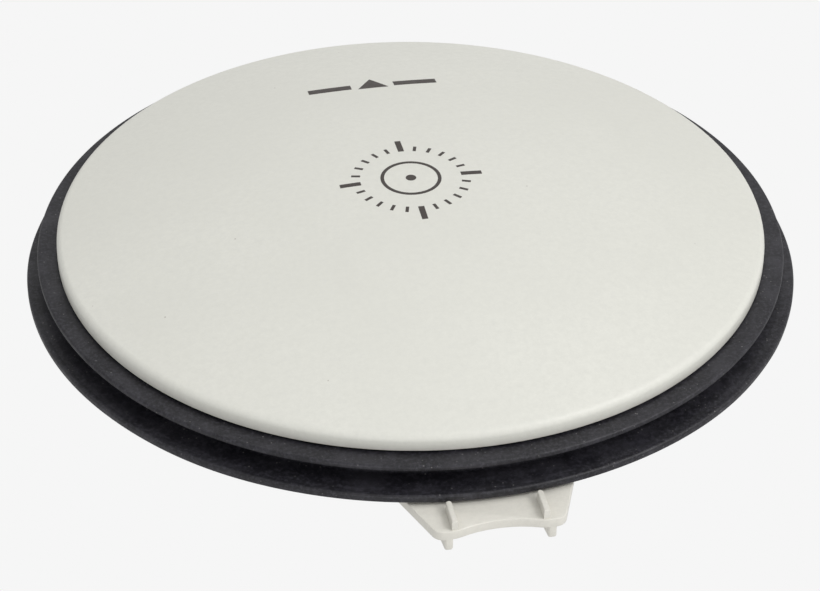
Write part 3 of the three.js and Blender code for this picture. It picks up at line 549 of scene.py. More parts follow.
# Every material as its maker and the maker's arguments after the name.
LOOK_TABLE = {
    "radome_plastic": (moulded_plastic, RADOME_LIGHT, RADOME_SHADE, LIP_Z + 7.6, LIP_Z + 9.6),
    "base_plastic": (moulded_plastic, BASE_LIGHT, BASE_SHADE, 0.0, 1.0, 0.92, 0.28),
    "bumper_rubber": (moulded_rubber, (0.0050, 0.0046, 0.0076), (0.0215, 0.0205, 0.0262)),
    "seal_rubber": (moulded_rubber, (0.010, 0.010, 0.011), (0.020, 0.020, 0.021), 0.3),
    "print_ink": (printed_ink, (0.052, 0.042, 0.037), (0.30, 0.28, 0.25)),
    # light, dark, lowest and highest roughness, stretch of the tool marks, their depth in mm
    "stainless": (worked_metal, (0.56, 0.56, 0.57), (0.44, 0.43, 0.42), 0.22, 0.40),
    "hub_metal": (worked_metal, (0.60, 0.61, 0.62), (0.50, 0.50, 0.51), 0.42, 0.6, (1, 1, 1), 0.03),
    "pan_metal": (worked_metal, (0.66, 0.67, 0.68), (0.55, 0.55, 0.56), 0.30, 0.48, (1, 12, 1)),
    "copper_foil": (worked_metal, (0.78, 0.38, 0.24), (0.58, 0.26, 0.15), 0.25, 0.45),
    "nickel_plate": (worked_metal, (0.66, 0.63, 0.58), (0.52, 0.49, 0.44), 0.16, 0.30),
    "gold_plate": (worked_metal, (0.86, 0.62, 0.25), (0.74, 0.50, 0.18), 0.18, 0.30),
    # light, dark, lowest and highest roughness, size of the mottling and the grain, relief in mm
    "board_laminate": (plain_solid, (0.66, 0.63, 0.50), (0.58, 0.55, 0.43), 0.4, 0.6, 6, 0.4),
    "green_board": (plain_solid, (0.02, 0.11, 0.045), (0.015, 0.085, 0.035), 0.3, 0.45, 5, 0.3),
    "chip_resin": (plain_solid, (0.018, 0.018, 0.019), (0.028, 0.028, 0.029), 0.5, 0.7, 2, 0.2),
    "vent_resin": (plain_solid, (0.020, 0.020, 0.021), (0.032, 0.032, 0.033), 0.45, 0.6, 3, 0.3),
    "foam": (plain_solid, (0.82, 0.81, 0.78), (0.72, 0.71, 0.68), 0.85, 0.95, 2, 0.6, 0.15),
    "absorber": (plain_solid, (0.035, 0.035, 0.037), (0.05, 0.05, 0.052), 0.85, 0.95, 3, 0.8, 0.15),
    "nylon": (plain_solid, (0.74, 0.71, 0.62), (0.68, 0.65, 0.56), 0.4, 0.55, 3, 0.3),
    "insulator": (plain_solid, (0.84, 0.84, 0.82), (0.78, 0.78, 0.76), 0.35, 0.5, 2, 0.2),
    "cable_jacket": (plain_solid, (0.40, 0.23, 0.10), (0.32, 0.18, 0.08), 0.35, 0.5, 2, 0.2),
    "label_film": (plain_solid, (0.60, 0.61, 0.61), (0.55, 0.56, 0.56), 0.3, 0.42, 8, 0.3, 0.01),
}
looks = {name: maker(name, *values) for name, (maker, *values) in LOOK_TABLE.items()}


def dress(piece, slot, look=None, replaced=()):
    """Gives a new piece its material and its body, and hides the CAD nodes that it stands for."""
    piece.data.materials.clear()
    piece.data.materials.append(looks[look or slot])
    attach(piece, "root")
    if replaced:
        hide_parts(*replaced)


# ---- camera --------------------------------------------------------------------------------------

CAMERA_TURN = math.radians(11.5)
CAMERA_RISE = math.radians(35.305)
CAMERA_ROLL = math.radians(-0.3995)
CAMERA_DISTANCE = 749.12
CAMERA_ASIDE = -0.036
CAMERA_LIFT = -9.218
LENS = 131.7
SENSOR_WIDTH = 36.0
CLIP_START = 0.05
CLIP_END = 20.0


def make_camera():
    """The photograph's view, aimed a little below the lower lip's centre, with a slight roll."""
    turn_sin, turn_cos = math.sin(CAMERA_TURN), math.cos(CAMERA_TURN)
    rise_sin, rise_cos = math.sin(CAMERA_RISE), math.cos(CAMERA_RISE)
    back = Vector((-turn_sin * rise_cos, -turn_cos * rise_cos, rise_sin))
    right = Vector((turn_cos, -turn_sin, 0))
    up = Vector((turn_sin * rise_sin, turn_cos * rise_sin, rise_cos))
    place = Vector((0, 0, LIP_Z)) + back * CAMERA_DISTANCE + right * CAMERA_ASIDE + up * CAMERA_LIFT
    rolled_right = right * math.cos(CAMERA_ROLL) - up * math.sin(CAMERA_ROLL)
    rolled_up = right * math.sin(CAMERA_ROLL) + up * math.cos(CAMERA_ROLL)
    data = bpy.data.cameras.new("camera")
    data.sensor_width = SENSOR_WIDTH
    data.lens = LENS
    data.clip_start = CLIP_START
    data.clip_end = CLIP_END
    camera = bpy.data.objects.new("camera", data)
    bpy.context.scene.collection.objects.link(camera)
    turn = Matrix((rolled_right, rolled_up, back)).transposed().to_4x4()
    camera.matrix_world = Matrix.Translation(place * MM) @ turn
    bpy.context.scene.camera = camera


make_camera()


# ---- radome --------------------------------------------------------------------------------------

def crown_sphere():
    """The crown's radius and centre height, and the angle where it meets the shoulder smoothly."""
    rim = RADOME_RADIUS - SHOULDER_RADIUS
    drop = SHOULDER_Z - CROWN_TOP_Z
    radius = (rim ** 2 + drop ** 2 - SHOULDER_RADIUS ** 2) / (-2 * (drop + SHOULDER_RADIUS))
    centre_z = CROWN_TOP_Z - radius
    return radius, centre_z, math.atan2(SHOULDER_Z - centre_z, rim)


CROWN_RADIUS, CROWN_CENTRE_Z, CROWN_MEETS = crown_sphere()


def crown_z(x, y):
    """The height of the crown's surface."""
    return CROWN_CENTRE_Z + math.sqrt(CROWN_RADIUS ** 2 - x * x - y * y)


def make_radome():
    """The cover as one turned wall: up the skirt, over the crown, and back along the inside."""
    edge_z = radome_low.z
    inner = SKIRT_RADIUS - RADOME_WALL
    groove = SKIRT_RADIUS - BEAD_DEPTH
    inner_crown = CROWN_RADIUS - CROWN_WALL
    inner_meets = math.acos((inner - 1.2) / inner_crown)
    skirt = rounded([
        (inner, edge_z, 0.3),
        (SKIRT_RADIUS, edge_z, 0.4),
        (SKIRT_RADIUS, BEAD_LOW_Z, 0.1),
        (groove, BEAD_LOW_Z, 0.1),
        (groove, BEAD_HIGH_Z, 0.1),
        (SKIRT_RADIUS, BEAD_HIGH_Z, 0.1),
        (SKIRT_RADIUS, SKIRT_TOP_Z, 0.1),
        (RADOME_RADIUS, SKIRT_TOP_Z, 0.2),
        (RADOME_RADIUS, SHOULDER_Z, 0.0),
    ], closed=False, steps=3)
    shoulder = arc(RADOME_RADIUS - SHOULDER_RADIUS, SHOULDER_Z, SHOULDER_RADIUS, 0, CROWN_MEETS, 12)
    crown = arc(0, CROWN_CENTRE_Z, CROWN_RADIUS, CROWN_MEETS, math.pi / 2, 44)
    inside = arc(0, CROWN_CENTRE_Z, inner_crown, math.pi / 2, inner_meets, 16)
    profile = skirt + shoulder[1:] + crown[1:-1] + [(0, CROWN_TOP_Z)]
    profile += [(0, CROWN_TOP_Z - CROWN_WALL)] + inside[1:] + [(inner, SHOULDER_Z - 0.6)]
    return revolve("radome_cover", profile, sharp=40)


dress(make_radome(), "radome_plastic", replaced=["radome_shell"])


# ---- print on the crown --------------------------------------------------------------------------

INK_LIFT = 0.03
INK_SINK = 0.06
TICK_COUNT = 24
TICK_RADIUS = 12.5  # of the ticks' inner ends
LONG_TICK = (2.6, 0.75)
SHORT_TICK = (1.1, 0.4)
DOT_RADIUS = 1.3
RING_INNER = 6.6
RING_OUTER = 7.5
ARROW_Y = 52.6
ARROW_SIZE = (2.9, 4.0)
SIDE_BAR_X = 11.2
SIDE_BAR_SIZE = (5.6, 1.3)


def patch(made, place, long_steps, wide_steps):
    """A thin closed patch on the crown. place(s, t) gives its x and y for s and t from 0 to 1."""
    top = []
    bottom = []
    for i in range(long_steps + 1):
        for j in range(wide_steps + 1):
            x, y = place(i / long_steps, j / wide_steps)
            z = crown_z(x, y)
            top.append(made.verts.new((x, y, z + INK_LIFT)))
            bottom.append(made.verts.new((x, y, z - INK_SINK)))
    width = wide_steps + 1
    for i in range(long_steps):
        for j in range(wide_steps):
            a, b = i * width + j, (i + 1) * width + j
            made.faces.new((top[a], top[b], top[b + 1], top[a + 1]))
            made.faces.new((bottom[a + 1], bottom[b + 1], bottom[b], bottom[a]))
    rim = [i * width for i in range(long_steps + 1)]
    rim += [long_steps * width + j for j in range(1, wide_steps + 1)]
    rim += [i * width + wide_steps for i in range(long_steps - 1, -1, -1)]
    rim += [j for j in range(wide_steps - 1, 0, -1)]
    for a, b in zip(rim, rim[1:] + rim[:1]):
        made.faces.new((top[b], top[a], bottom[a], bottom[b]))


def bow(inner, outer, start, end):
    """A piece of a ring between two angles in degrees."""
    def place(s, t):
        angle = math.radians(start + (end - start) * s)
        radius = inner + (outer - inner) * t
        return radius * math.cos(angle), radius * math.sin(angle)
    return place


def bar(x, y, half_long, half_wide, turn=0.0, taper=1.0):
    """A straight bar round (x, y). taper narrows its far end."""
    along = Vector((math.cos(turn), math.sin(turn)))
    across = Vector((-along.y, along.x))

    def place(s, t):
        width = half_wide * (1 + (taper - 1) * s)
        point = Vector((x, y)) + along * (half_long * (2 * s - 1)) + across * width * (2 * t - 1)
        return point.x, point.y
    return place


def make_print():
    """A phase-centre ring and dot inside a ring of ticks, and an arrow head between two bars."""
    made = bmesh.new()
    patch(made, bow(RING_INNER, RING_OUTER, 0, 360), 72, 1)
    patch(made, bow(0.001, DOT_RADIUS, 0, 360), 24, 1)
    for i in range(TICK_COUNT):
        angle = 2 * math.pi * i / TICK_COUNT
        on_quarter = i % (TICK_COUNT // 4) == 0
        half_long, half_wide = LONG_TICK if on_quarter else SHORT_TICK
        middle = TICK_RADIUS + half_long
        x, y = middle * math.cos(angle), middle * math.sin(angle)
        patch(made, bar(x, y, half_long, half_wide, angle), 4, 1)
    patch(made, bar(0, ARROW_Y, *ARROW_SIZE, math.pi / 2, 0.02), 6, 4)
    for side in (-1, 1):
        patch(made, bar(side * SIDE_BAR_X, ARROW_Y - 1.2, *SIDE_BAR_SIZE), 8, 2)
    return from_bmesh("crown_print", made)


dress(make_print(), "radome_plastic", "print_ink")


# ---- rubber edge ---------------------------------------------------------------------------------

def bumper_profile():
    """The rubber's section: a wide lower lip, a waist, a narrower upper lip, and a bead inside."""
    inner = SKIRT_RADIUS + GAP
    bead = inner - BEAD_DEPTH
    return rounded([
        (inner, bumper_low.z, 0.3),
        (LIP_RADIUS - 1.2, LIP_Z - 1.15, 0.5),
        (LIP_RADIUS, LIP_Z - 0.9, 0.55),
        (LIP_RADIUS, LIP_Z + 0.97, 0.6),
        (LIP_RADIUS - 1.35, LIP_Z + 0.95, 0.6),
        (LIP_RADIUS - 2.6, LIP_Z + 1.08, 2.5),
        (WAIST_RADIUS, LIP_Z + 1.4, 1.0),
        (WAIST_RADIUS, LIP_Z + 5.2, 1.2),
        (UPPER_LIP_RADIUS, LIP_Z + 5.85, 0.28),
        (UPPER_LIP_RADIUS, LIP_Z + 7.1, 0.62),
        (inner, BUMPER_TOP_Z, 0.3),
        (inner, BEAD_HIGH_Z - GAP, 0.1),
        (bead, BEAD_HIGH_Z - GAP, 0.2),
        (bead, BEAD_LOW_Z + GAP, 0.2),
        (inner, BEAD_LOW_Z + GAP, 0.1),
    ], steps=5)


# Places where the rubber is out of true: how far, at what angle, and over how many degrees.
UPPER_PULL = (0.6, -62.0, 24.0)
LOWER_PULLS = ((0.4, 158.0, 10.0), (0.4, 2.0, 10.0))
LOWER_DIP = (0.25, -33.0, 4.0)
# Slight waves all the way round: how far, how many, and their phase.
OUTWARD_WAVES = ((0.05, 3, 0.7), (0.03, 7, 2.1), (0.02, 13, 0.0))
UPWARD_WAVES = ((0.10, 4, 1.3), (0.05, 9, 0.0))
UPPER_LIP_SHARE = 0.4  # the upper lip is stiffer
LIPS_PART_Z = LIP_Z + 4
HELD_RADIUS = RADOME_RADIUS + 2.5  # nearer the axis than this, the radome holds the rubber true


def hollow(place, degrees):
    depth, at, wide = place
    return depth * math.exp(-((degrees - at) / wide) ** 2)


def waves(rows, angle):
    return sum(height * math.sin(count * angle + phase) for height, count, phase in rows)


def rubber_sway(angle, radius, z):
    """Soft rubber is never quite true: the free lips wander a little outwards and in height."""
    free = max(0.0, (radius - HELD_RADIUS) / (LIP_RADIUS - HELD_RADIUS))
    out = waves(OUTWARD_WAVES, angle)
    lift = waves(UPWARD_WAVES, angle)
    degrees = math.degrees(angle)
    if z < LIPS_PART_Z:
        pull = sum(hollow(place, degrees) for place in LOWER_PULLS)
        return radius + (out - pull) * free, z + (lift - hollow(LOWER_DIP, degrees)) * free
    pull = hollow(UPPER_PULL, degrees)
    return radius + (UPPER_LIP_SHARE * out - pull) * free, z + UPPER_LIP_SHARE * lift * free


def make_bumper():
    return revolve("rubber_edge", bumper_profile(), 320, shift=rubber_sway, sharp=50)


dress(make_bumper(), "bumper_rubber", replaced=["edge_bumper"])


# ---- base with its index tab ---------------------------------------------------------------------

def tab_outline():
    """The tab's outline, from the root on one side round to the root on the other."""
    slope = math.tan(TAB_FLARE)
    root_half = TAB_HALF_WIDTH + (TAB_REACH - TAB_ROOT) * slope
    half_chord = math.sqrt(2 * NOTCH_RADIUS * NOTCH_DEPTH - NOTCH_DEPTH ** 2)
    last = half_chord - 3.0
    side = rounded([
        (root_half, -TAB_ROOT, 0),
        (TAB_HALF_WIDTH, -TAB_REACH, TAB_CORNER),
        (half_chord, -TAB_REACH, NOTCH_BLEND * 4),
        (last, -TAB_REACH + notch_rise(last), 0),
    ], closed=False, steps=8)
    notch = []
    for k in range(1, 12):
        x = last * (1 - k / 6)
        notch.append((x, -TAB_REACH + notch_rise(x)))
    mirrored = [(-x, y) for x, y in reversed(side)]
    return side + notch + mirrored


def notch_rise(x):
    """How far the shallow notch in the tab's edge stands back at x."""
    return NOTCH_DEPTH - (NOTCH_RADIUS - math.sqrt(NOTCH_RADIUS ** 2 - x * x))


def top_rib(x):
    """An upright rib on the tab, round in plan at its inner end."""
    half = TOP_RIB_THICK / 2
    outline = [(x - half, -TOP_RIB_END), (x + half, -TOP_RIB_END)]
    outline += arc(x, -TOP_RIB_START - half, half, 0, math.pi, 8)
    return slab("top_rib", outline, PLATE_TOP_Z - 0.8, PLATE_TOP_Z + TOP_RIB_HIGH, TOP_RIB_BEVEL)


def leg(x):
    """A leg under the tab, which runs inwards as a web to the tub."""
    tip = PLATE_LOW_Z - LEG_DROP
    outer = TAB_REACH - 0.03
    root_z = PLATE_LOW_Z + 0.9
    outline = rounded([
        (61.8, 27.4, 0),
        (64.0, 26.4, 0),
        (TAB_REACH - 6, tip - 1.4, 0),
        (outer, tip, 1.1),
        (outer, root_z, 0),
        (WEB_ROOT, root_z, 0),
    ], steps=5)
    return upright("leg", outline, LEG_THICK, x, 0.5)


def web(angle):
    """A stiffening web between the tub and the rim plate."""
    root_z = PLATE_LOW_Z + 0.7
    outline = rounded([
        (62.3, 28.0, 0),
        (80.0, 29.0, 2.0),
        (WEB_REACH, PLATE_LOW_Z, 0),
        (WEB_REACH, root_z, 0),
        (WEB_ROOT, root_z, 0),
    ], steps=4)
    piece = upright("web", outline, WEB_THICK, 0, 0.3)
    piece.data.transform(Matrix.Rotation(angle, 4, "Z"))
    return piece


jack_middle = (jack_low + jack_high) / 2
vent_middle = (vent_low + vent_high) / 2
cover_screws = on_circle(COVER_SCREW_CIRCLE, COVER_SCREW_COUNT, math.pi / COVER_SCREW_COUNT)
hub_screws = on_circle(HUB_SCREW_CIRCLE, HUB_SCREW_COUNT, math.pi / HUB_SCREW_COUNT)
board_posts = on_circle(BOARD_POST_CIRCLE, BOARD_POST_COUNT)


def make_base():
    """The tub with its rim plate, spigot, tab, webs and posts, and its holes."""
    groove = SPIGOT_OUTER - SEAL_GROOVE_DEEP
    groove_low = PLATE_TOP_Z + SEAL_GROOVE_RISE - SEAL_GROOVE_HALF
    groove_high = PLATE_TOP_Z + SEAL_GROOVE_RISE + SEAL_GROOVE_HALF
    spigot_inner = SPIGOT_OUTER - SPIGOT_WALL
    spigot_top = PLATE_TOP_Z + SPIGOT_HIGH
    shell = revolve("base_shell", rounded([
        (BASE_HOLE_RADIUS, FLOOR_LOW_Z, 0.3),
        (TUB_FLOOR_RADIUS, FLOOR_LOW_Z, 3.0),
        (TUB_RIM_RADIUS, PLATE_LOW_Z, 2.5),
        (PLATE_RADIUS, PLATE_LOW_Z, 0.5),
        (PLATE_RADIUS, PLATE_TOP_Z, 0.5),
        (SPIGOT_OUTER, PLATE_TOP_Z, 0.2),
        (SPIGOT_OUTER, groove_low, 0.1),
        (groove, groove_low, 0.1),
        (groove, groove_high, 0.1),
        (SPIGOT_OUTER, groove_high, 0.1),
        (SPIGOT_OUTER, spigot_top, 0.4),
        (spigot_inner, spigot_top, 0.4),
        (spigot_inner, PLATE_TOP_Z, 0.5),
        (TUB_RIM_RADIUS - 1.4, PLATE_TOP_Z, 1.0),
        (TUB_FLOOR_RADIUS - 1.0, FLOOR_TOP_Z, 2.0),
        (BASE_HOLE_RADIUS, FLOOR_TOP_Z, 0.3),
    ], steps=4), 192, sharp=30)
    tab_low, tab_high = PLATE_LOW_Z + TAB_INSET, PLATE_TOP_Z - TAB_INSET
    added = [slab("tab", tab_outline(), tab_low, tab_high, TAB_BEVEL)]
    added += [leg(-LEG_X), leg(LEG_X), top_rib(-TOP_RIB_X), top_rib(TOP_RIB_X)]
    added += [web(i * 2 * math.pi / WEB_COUNT) for i in range(1, WEB_COUNT)]
    root_z = FLOOR_TOP_Z - 0.5
    added += pegs(board_posts, BOARD_POST_RADIUS, BOARD_POST_LOW_Z, PLATE_TOP_Z + 0.02)
    added += pegs(AMPLIFIER_POSTS, AMPLIFIER_POST_RADIUS, root_z, AMPLIFIER_POST_TOP_Z)
    added += pegs(hub_screws, HUB_BOSS_RADIUS, root_z, FLOOR_TOP_Z + HUB_BOSS_HIGH)
    combine(shell, added, "UNION")
    under = FLOOR_LOW_Z - PAST
    cut = pegs(cover_screws, COVER_HOLE_RADIUS, PLATE_LOW_Z - PAST, PLATE_TOP_Z + PAST)
    cut += pegs(board_posts, BOARD_POST_HOLE, 29.0, PLATE_TOP_Z + PAST)
    cut += pegs(AMPLIFIER_POSTS, AMPLIFIER_POST_HOLE, FLOOR_TOP_Z, 26.0)
    cut += pegs(hub_screws, HUB_HOLE_RADIUS, under, FLOOR_TOP_Z + 1.8)
    cut += pegs([(0, jack_middle.y)], JACK_HOLE_RADIUS, under, FLOOR_TOP_Z + PAST, 48)
    cut += pegs([(vent_middle.x, 0)], VENT_HOLE_RADIUS, under, FLOOR_TOP_Z + PAST, 48)
    combine(shell, cut, "DIFFERENCE")
    shell.name = "base_with_tab"
    return shell


dress(make_base(), "base_plastic", replaced=["base_housing"])


# ---- turned and threaded pieces ------------------------------------------------------------------

THREAD_STEPS = 96
SCREW_THREAD_DEEP = 0.18
SLOT_HALF_WIDE = 0.45
VENT_SLOT_COUNT = 3
RING_HOLE_RADIUS = 5.7  # in the jack's nut and washer


def screw_mesh(name, node, head_radius, head_high, shank_radius):
    """A pan-head screw with a hexagon socket, head down, in the box of its CAD node."""
    low, high = corners(node)
    centre = (low + high) / 2
    socket = hexagon(head_radius * 0.52)
    length = high.z - low.z
    rings = [
        (socket, head_high * 0.6),
        (socket, 0.12),
        (head_radius * 0.56, 0.0),
        (head_radius * 0.74, 0.02),
        (head_radius * 0.90, head_high * 0.14),
        (head_radius * 0.98, head_high * 0.42),
        (head_radius, head_high * 0.75),
        (head_radius, head_high - 0.12),
        (head_radius - 0.12, head_high),
        (shank_radius + 0.15, head_high),
        (shank_radius, head_high + 0.15),
    ]
    pitch = shank_radius * 0.5
    turns = int((length - head_high - 0.8) / pitch)
    for i in range(turns):
        start = head_high + 0.3 + i * pitch
        rings += [(shank_radius, start), (shank_radius - SCREW_THREAD_DEEP, start + pitch * 0.5)]
    rings += [(shank_radius, length - 0.4), (shank_radius * 0.6, length)]
    piece = stack(name, rings, 48, sharp=30)
    piece.data.transform(Matrix.Translation(Vector((centre.x, centre.y, low.z)) * MM))
    return piece


def thread_rings(vertices, crest, root, pitch, low, high, centre):
    """Adds the rings of a real helical thread between two heights, and returns their indices."""
    rows = max(8, int((high - low) / pitch * 12))
    rings = []
    for r in range(rows + 1):
        z = low + (high - low) * r / rows
        fade = max(0.0, min(1.0, (z - low) / (pitch * 0.7), (high - z) / (pitch * 0.7)))
        ring = []
        for k in range(THREAD_STEPS):
            angle = 2 * math.pi * k / THREAD_STEPS
            phase = ((z - low) / pitch - k / THREAD_STEPS) % 1.0
            tooth = abs(2 * phase - 1)
            radius = crest + (root - crest) * fade * min(1.0, max(0.0, tooth * 1.3 - 0.15))
            ring.append(len(vertices))
            x = centre[0] + radius * math.cos(angle)
            y = centre[1] + radius * math.sin(angle)
            vertices.append((x, y, z))
        rings.append(ring)
    return rings


def turned_with_thread(name, before, thread, after, centre):
    """A closed turned piece: some of its profile, a threaded stretch, and the rest of the profile.

    thread is its crest and root radius, its pitch, and its low and high end.
    """
    vertices = []
    threaded = thread_rings(vertices, *thread, centre)
    start = [add_ring(vertices, *point, THREAD_STEPS, centre) for point in before]
    rest = [add_ring(vertices, *point, THREAD_STEPS, centre) for point in after]
    rings = start + threaded + rest
    faces = skin(zip(rings, rings[1:] + rings[:1]), THREAD_STEPS)
    made = mesh_object(name, vertices, faces)
    fixed = bmesh.new()
    fixed.from_mesh(made.data)
    bmesh.ops.recalc_face_normals(fixed, faces=fixed.faces)
    fixed.to_mesh(made.data)
    fixed.free()
    shade(made)
    return made


def make_hub():
    """The pole mount: a neck, a flange with recessed screw holes, and a spigot into the base."""
    flange_high = gasket_low.z - 0.15
    flange_low = flange_high - 3.0
    bore = insert_high.x + 0.15
    neck = 19.0
    spigot = 13.0
    hub = revolve("pole_hub", rounded([
        (bore, 0, 0.3),
        (neck, 0, 0.9),
        (neck, flange_low, 1.2),
        (hub_high.x, flange_low, 0.5),
        (hub_high.x, flange_high, 0.4),
        (spigot, flange_high, 0.3),
        (spigot, hub_high.z, 0.8),
        (0.0, hub_high.z, 0),
        (0.0, insert_high.z + 0.3, 0),
        (bore, insert_high.z + 0.3, 0.2),
    ], steps=5), 160)
    cut = []
    for place in hub_screws:
        cut += pegs([place], HUB_HOLE_RADIUS, flange_low - PAST, flange_high + PAST)
        cut += pegs([place], 4.2, flange_low - 5, flange_low + 0.2, 48)
    return combine(hub, cut, "DIFFERENCE")


def make_insert():
    """The hub's threaded insert for the pole."""
    low = insert_low.z
    high = insert_high.z
    outer = insert_high.x
    return turned_with_thread(
        "thread_insert",
        [(outer - 0.3, low), (THREAD_MAJOR + 0.4, low)],
        (THREAD_MINOR, THREAD_MAJOR, THREAD_PITCH, low + 0.6, high - 1.5),
        [(0, high - 1.5), (0, high), (outer - 0.2, high), (outer, high - 0.2), (outer, low + 0.3)],
        (0, 0),
    )


def make_jack():
    """The coaxial jack's body: a threaded tube below the floor, with a flange on top of it."""
    tip = jack_low.z
    flange_low = FLOOR_TOP_Z + 0.9
    flange_high = flange_low + 2.2
    tail_high = flange_low + 4.0
    bore = 4.1
    bore_end = 12.5
    thread_crest = 5.5
    thread_root = 5.0
    flange = 8.0
    return turned_with_thread(
        "coax_jack",
        [(bore, bore_end), (bore, tip + 0.3), (bore + 0.3, tip), (thread_root, tip)],
        (thread_crest, thread_root, 0.9, tip + 0.3, flange_low - 0.2),
        [(thread_crest, flange_low), (flange - 0.2, flange_low), (flange, flange_low + 0.2),
         (flange, flange_low + 2.0), (flange - 0.2, flange_high), (3.0, flange_high),
         (3.0, tail_high), (1.5, tail_high), (1.5, bore_end)],
        (jack_middle.x, jack_middle.y),
    )


def make_nut():
    """A chamfered hexagon nut."""
    low, high = nut_low.z, nut_high.z
    centre = ((nut_low + nut_high) / 2).xy
    corner_radius = (nut_high.y - nut_low.y) / 2
    hexed = hexagon(corner_radius)
    flat = corner_radius * math.cos(math.pi / 6)

    def turned(angle):
        return hexed(angle + math.pi / 6)

    def chamfered(angle):
        return min(turned(angle), flat + 0.35)
    rings = [(chamfered, low), (turned, low + 0.4), (turned, high - 0.4), (chamfered, high)]
    nut = stack("jack_nut_hex", rings, 96, centre, 25)
    return combine(nut, pegs([centre], RING_HOLE_RADIUS, low - 1, high + 1, 64), "DIFFERENCE")


def make_washer():
    """A toothed lock washer."""
    low, high = washer_low.z, washer_high.z
    centre = ((washer_low + washer_high) / 2).xy
    outer = (washer_high.x - washer_low.x) / 2

    def toothed(angle):
        return outer - 0.35 * (0.5 + 0.5 * math.cos(12 * angle)) ** 4
    washer = stack("jack_washer_ring", [(toothed, low), (toothed, high)], 144, centre, 30)
    hole = pegs([centre], RING_HOLE_RADIUS, low - PAST, high + PAST, 64)
    return combine(washer, hole, "DIFFERENCE")


def make_vent():
    """The vent's plug, with crossed slots in its cap."""
    low = vent_low.z
    under = FLOOR_LOW_Z - 0.15
    cap = 6.0
    stem = 4.0
    bore = 2.6
    breather = 1.6
    plug = revolve("vent_cap", rounded([
        (breather, low, 0.2),
        (cap, low, 0.7),
        (cap, under, 0.2),
        (stem, under, 0.2),
        (stem, vent_high.z, 0.3),
        (bore, vent_high.z, 0.2),
        (bore, low + 1.2, 0),
        (breather, low + 1.2, 0),
    ], steps=4), 72, (vent_middle.x, vent_middle.y))
    reach = cap + 1
    half = SLOT_HALF_WIDE
    outline = [(-reach, -half), (reach, -half), (reach, half), (-reach, half)]
    place = Matrix.Translation(Vector((vent_middle.x, vent_middle.y, 0)) * MM)
    slots = []
    for i in range(VENT_SLOT_COUNT):
        tool = slab("slot", outline, low - 1, low + half, 0)
        tool.data.transform(place @ Matrix.Rotation(math.pi * i / VENT_SLOT_COUNT, 4, "Z"))
        slots.append(tool)
    return combine(plug, slots, "DIFFERENCE")


def make_label():
    """A blank label plate with round corners."""
    low, high = label_low, label_high
    places = ((low.x, low.y), (high.x, low.y), (high.x, high.y), (low.x, high.y))
    outline = rounded([(x, y, 1.5) for x, y in places])
    return slab("blank_label", outline, low.z, high.z, 0.05, 1)


dress(make_hub(), "hub_metal", replaced=["mounting_hub"])
dress(make_insert(), "stainless", replaced=["hub_insert"])
dress(make_jack(), "nickel_plate", replaced=["jack_body"])
dress(make_nut(), "nickel_plate", replaced=["jack_nut"])
dress(make_washer(), "stainless", replaced=["jack_washer"])
dress(make_vent(), "vent_resin", replaced=["vent_plug"])
dress(make_label(), "label_film", replaced=["label_plate"])
# kind: how many, head radius, head height, shank radius
SCREW_SIZES = {
    "cover": (COVER_SCREW_COUNT, 2.9, 2.2, 1.45),
    "hub": (HUB_SCREW_COUNT, 3.6, 2.4, 1.9),
}
for kind, (count, *sizes) in SCREW_SIZES.items():
    for number in range(1, count + 1):
        node = f"{kind}_screw_{number}"
        dress(screw_mesh(f"{kind}_fixing_{number}", node, *sizes), "stainless", replaced=[node])


# ---- CAD nodes that stay -------------------------------------------------------------------------

slot_of = {row["node"]: row["material_slot"] for row in frame["record"]["subparts"]}
for node, piece in frame["nodes"].items():
    if not piece.hide_render:
        piece.data.materials.clear()
        piece.data.materials.append(looks[slot_of[node]])


# ---- stage and light -----------------------------------------------------------------------------

PALE = (0.9216, 0.9216, 0.9216, 1.0)
FLOOR_COLOUR = (0.08, 0.08, 0.08, 1.0)
FLOOR_GLOW = 0.60
FLOOR_HALF = 3000.0
WORLD_STRENGTH = 0.70
PANEL_SPREAD = math.radians(26)
# name: height, angle to the right of the camera, both in degrees, and strength
PANELS = {
    "key": (45, 68, 1.13),
    "front_strip": (11, 0, 0.50),
    "key_top": (65, 120, 0.31),
    "back_top": (65, 180, 0.10),
    "back_strip": (25, 180, 0.04),
}


def show_apart(tree, output_kind, given, shown):
    """Gives the camera's own rays the shown shader, and all other rays the given one."""
    output = tree.nodes.new(output_kind)
    path = tree.nodes.new("ShaderNodeLightPath")
    mix = tree.nodes.new("ShaderNodeMixShader")
    tree.links.new(path.outputs["Is Camera Ray"], mix.inputs["Fac"])
    tree.links.new(given, mix.inputs[1])
    tree.links.new(shown, mix.inputs[2])
    tree.links.new(mix.outputs["Shader"], output.inputs["Surface"])


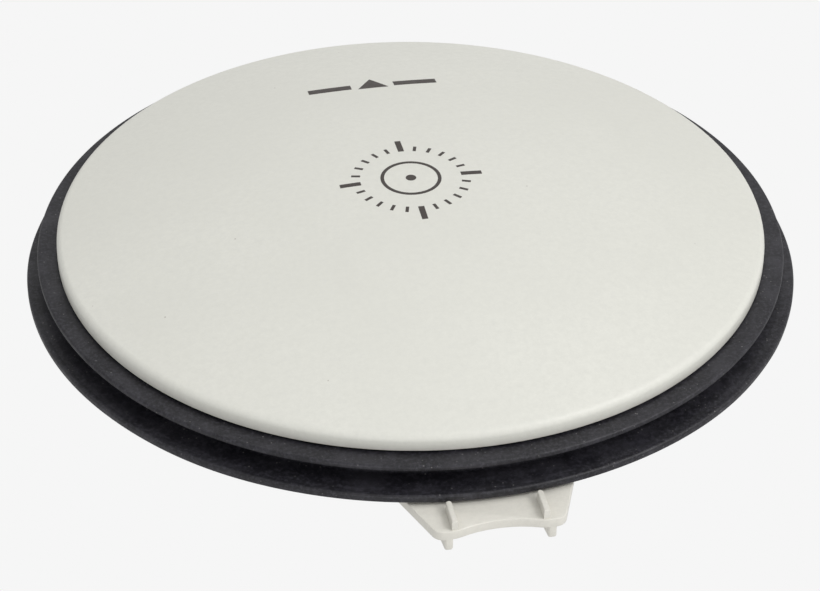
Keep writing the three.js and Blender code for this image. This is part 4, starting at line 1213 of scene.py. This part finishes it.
def stage_material():
    """A floor that is seen as an even pale tone. To the object it is dark, with a soft glow."""
    material = bpy.data.materials.new("stage_floor")
    material.use_nodes = True
    tree = material.node_tree
    tree.nodes.clear()
    shown = tree.nodes.new("ShaderNodeEmission")
    shown.inputs["Color"].default_value = PALE
    given = tree.nodes.new("ShaderNodeBsdfDiffuse")
    given.inputs["Color"].default_value = FLOOR_COLOUR
    glow = tree.nodes.new("ShaderNodeEmission")
    glow.inputs["Strength"].default_value = FLOOR_GLOW
    lit = tree.nodes.new("ShaderNodeAddShader")
    tree.links.new(given.outputs["BSDF"], lit.inputs[0])
    tree.links.new(glow.outputs["Emission"], lit.inputs[1])
    show_apart(tree, "ShaderNodeOutputMaterial", lit.outputs["Shader"], shown.outputs["Emission"])
    return material


def make_stage():
    half = FLOOR_HALF
    vertices = [(-half, -half, 0), (half, -half, 0), (half, half, 0), (-half, half, 0)]
    floor = mesh_object("stage_floor", vertices, [(0, 1, 2, 3)])
    floor.data.materials.append(stage_material())


def make_world():
    """An even studio light, seen by the camera as the same pale tone as the floor."""
    world = bpy.data.worlds.new("studio")
    world.use_nodes = True
    tree = world.node_tree
    tree.nodes.clear()
    shown = tree.nodes.new("ShaderNodeBackground")
    shown.inputs["Color"].default_value = PALE
    given = tree.nodes.new("ShaderNodeBackground")
    given.inputs["Strength"].default_value = WORLD_STRENGTH
    outputs = given.outputs["Background"], shown.outputs["Background"]
    show_apart(tree, "ShaderNodeOutputWorld", *outputs)
    bpy.context.scene.world = world


def panel(name, rise, turn, strength):
    """A distant soft light."""
    data = bpy.data.lights.new(name, "SUN")
    data.energy = strength
    data.angle = PANEL_SPREAD
    light = bpy.data.objects.new(name, data)
    bpy.context.scene.collection.objects.link(light)
    rise, turn = math.radians(rise), math.radians(turn)
    front = Vector((-math.sin(CAMERA_TURN), -math.cos(CAMERA_TURN), 0))
    right = Vector((math.cos(CAMERA_TURN), -math.sin(CAMERA_TURN), 0))
    level = front * math.cos(turn) + right * math.sin(turn)
    toward = level * math.cos(rise) + Vector((0, 0, math.sin(rise)))
    light.rotation_mode = "QUATERNION"
    light.rotation_quaternion = (-toward).to_track_quat("-Z", "Y")


make_stage()
make_world()
for name, values in PANELS.items():
    panel(name, *values)
bpy.context.scene.view_settings.view_transform = "Standard"
bpy.context.scene.view_settings.look = "None"
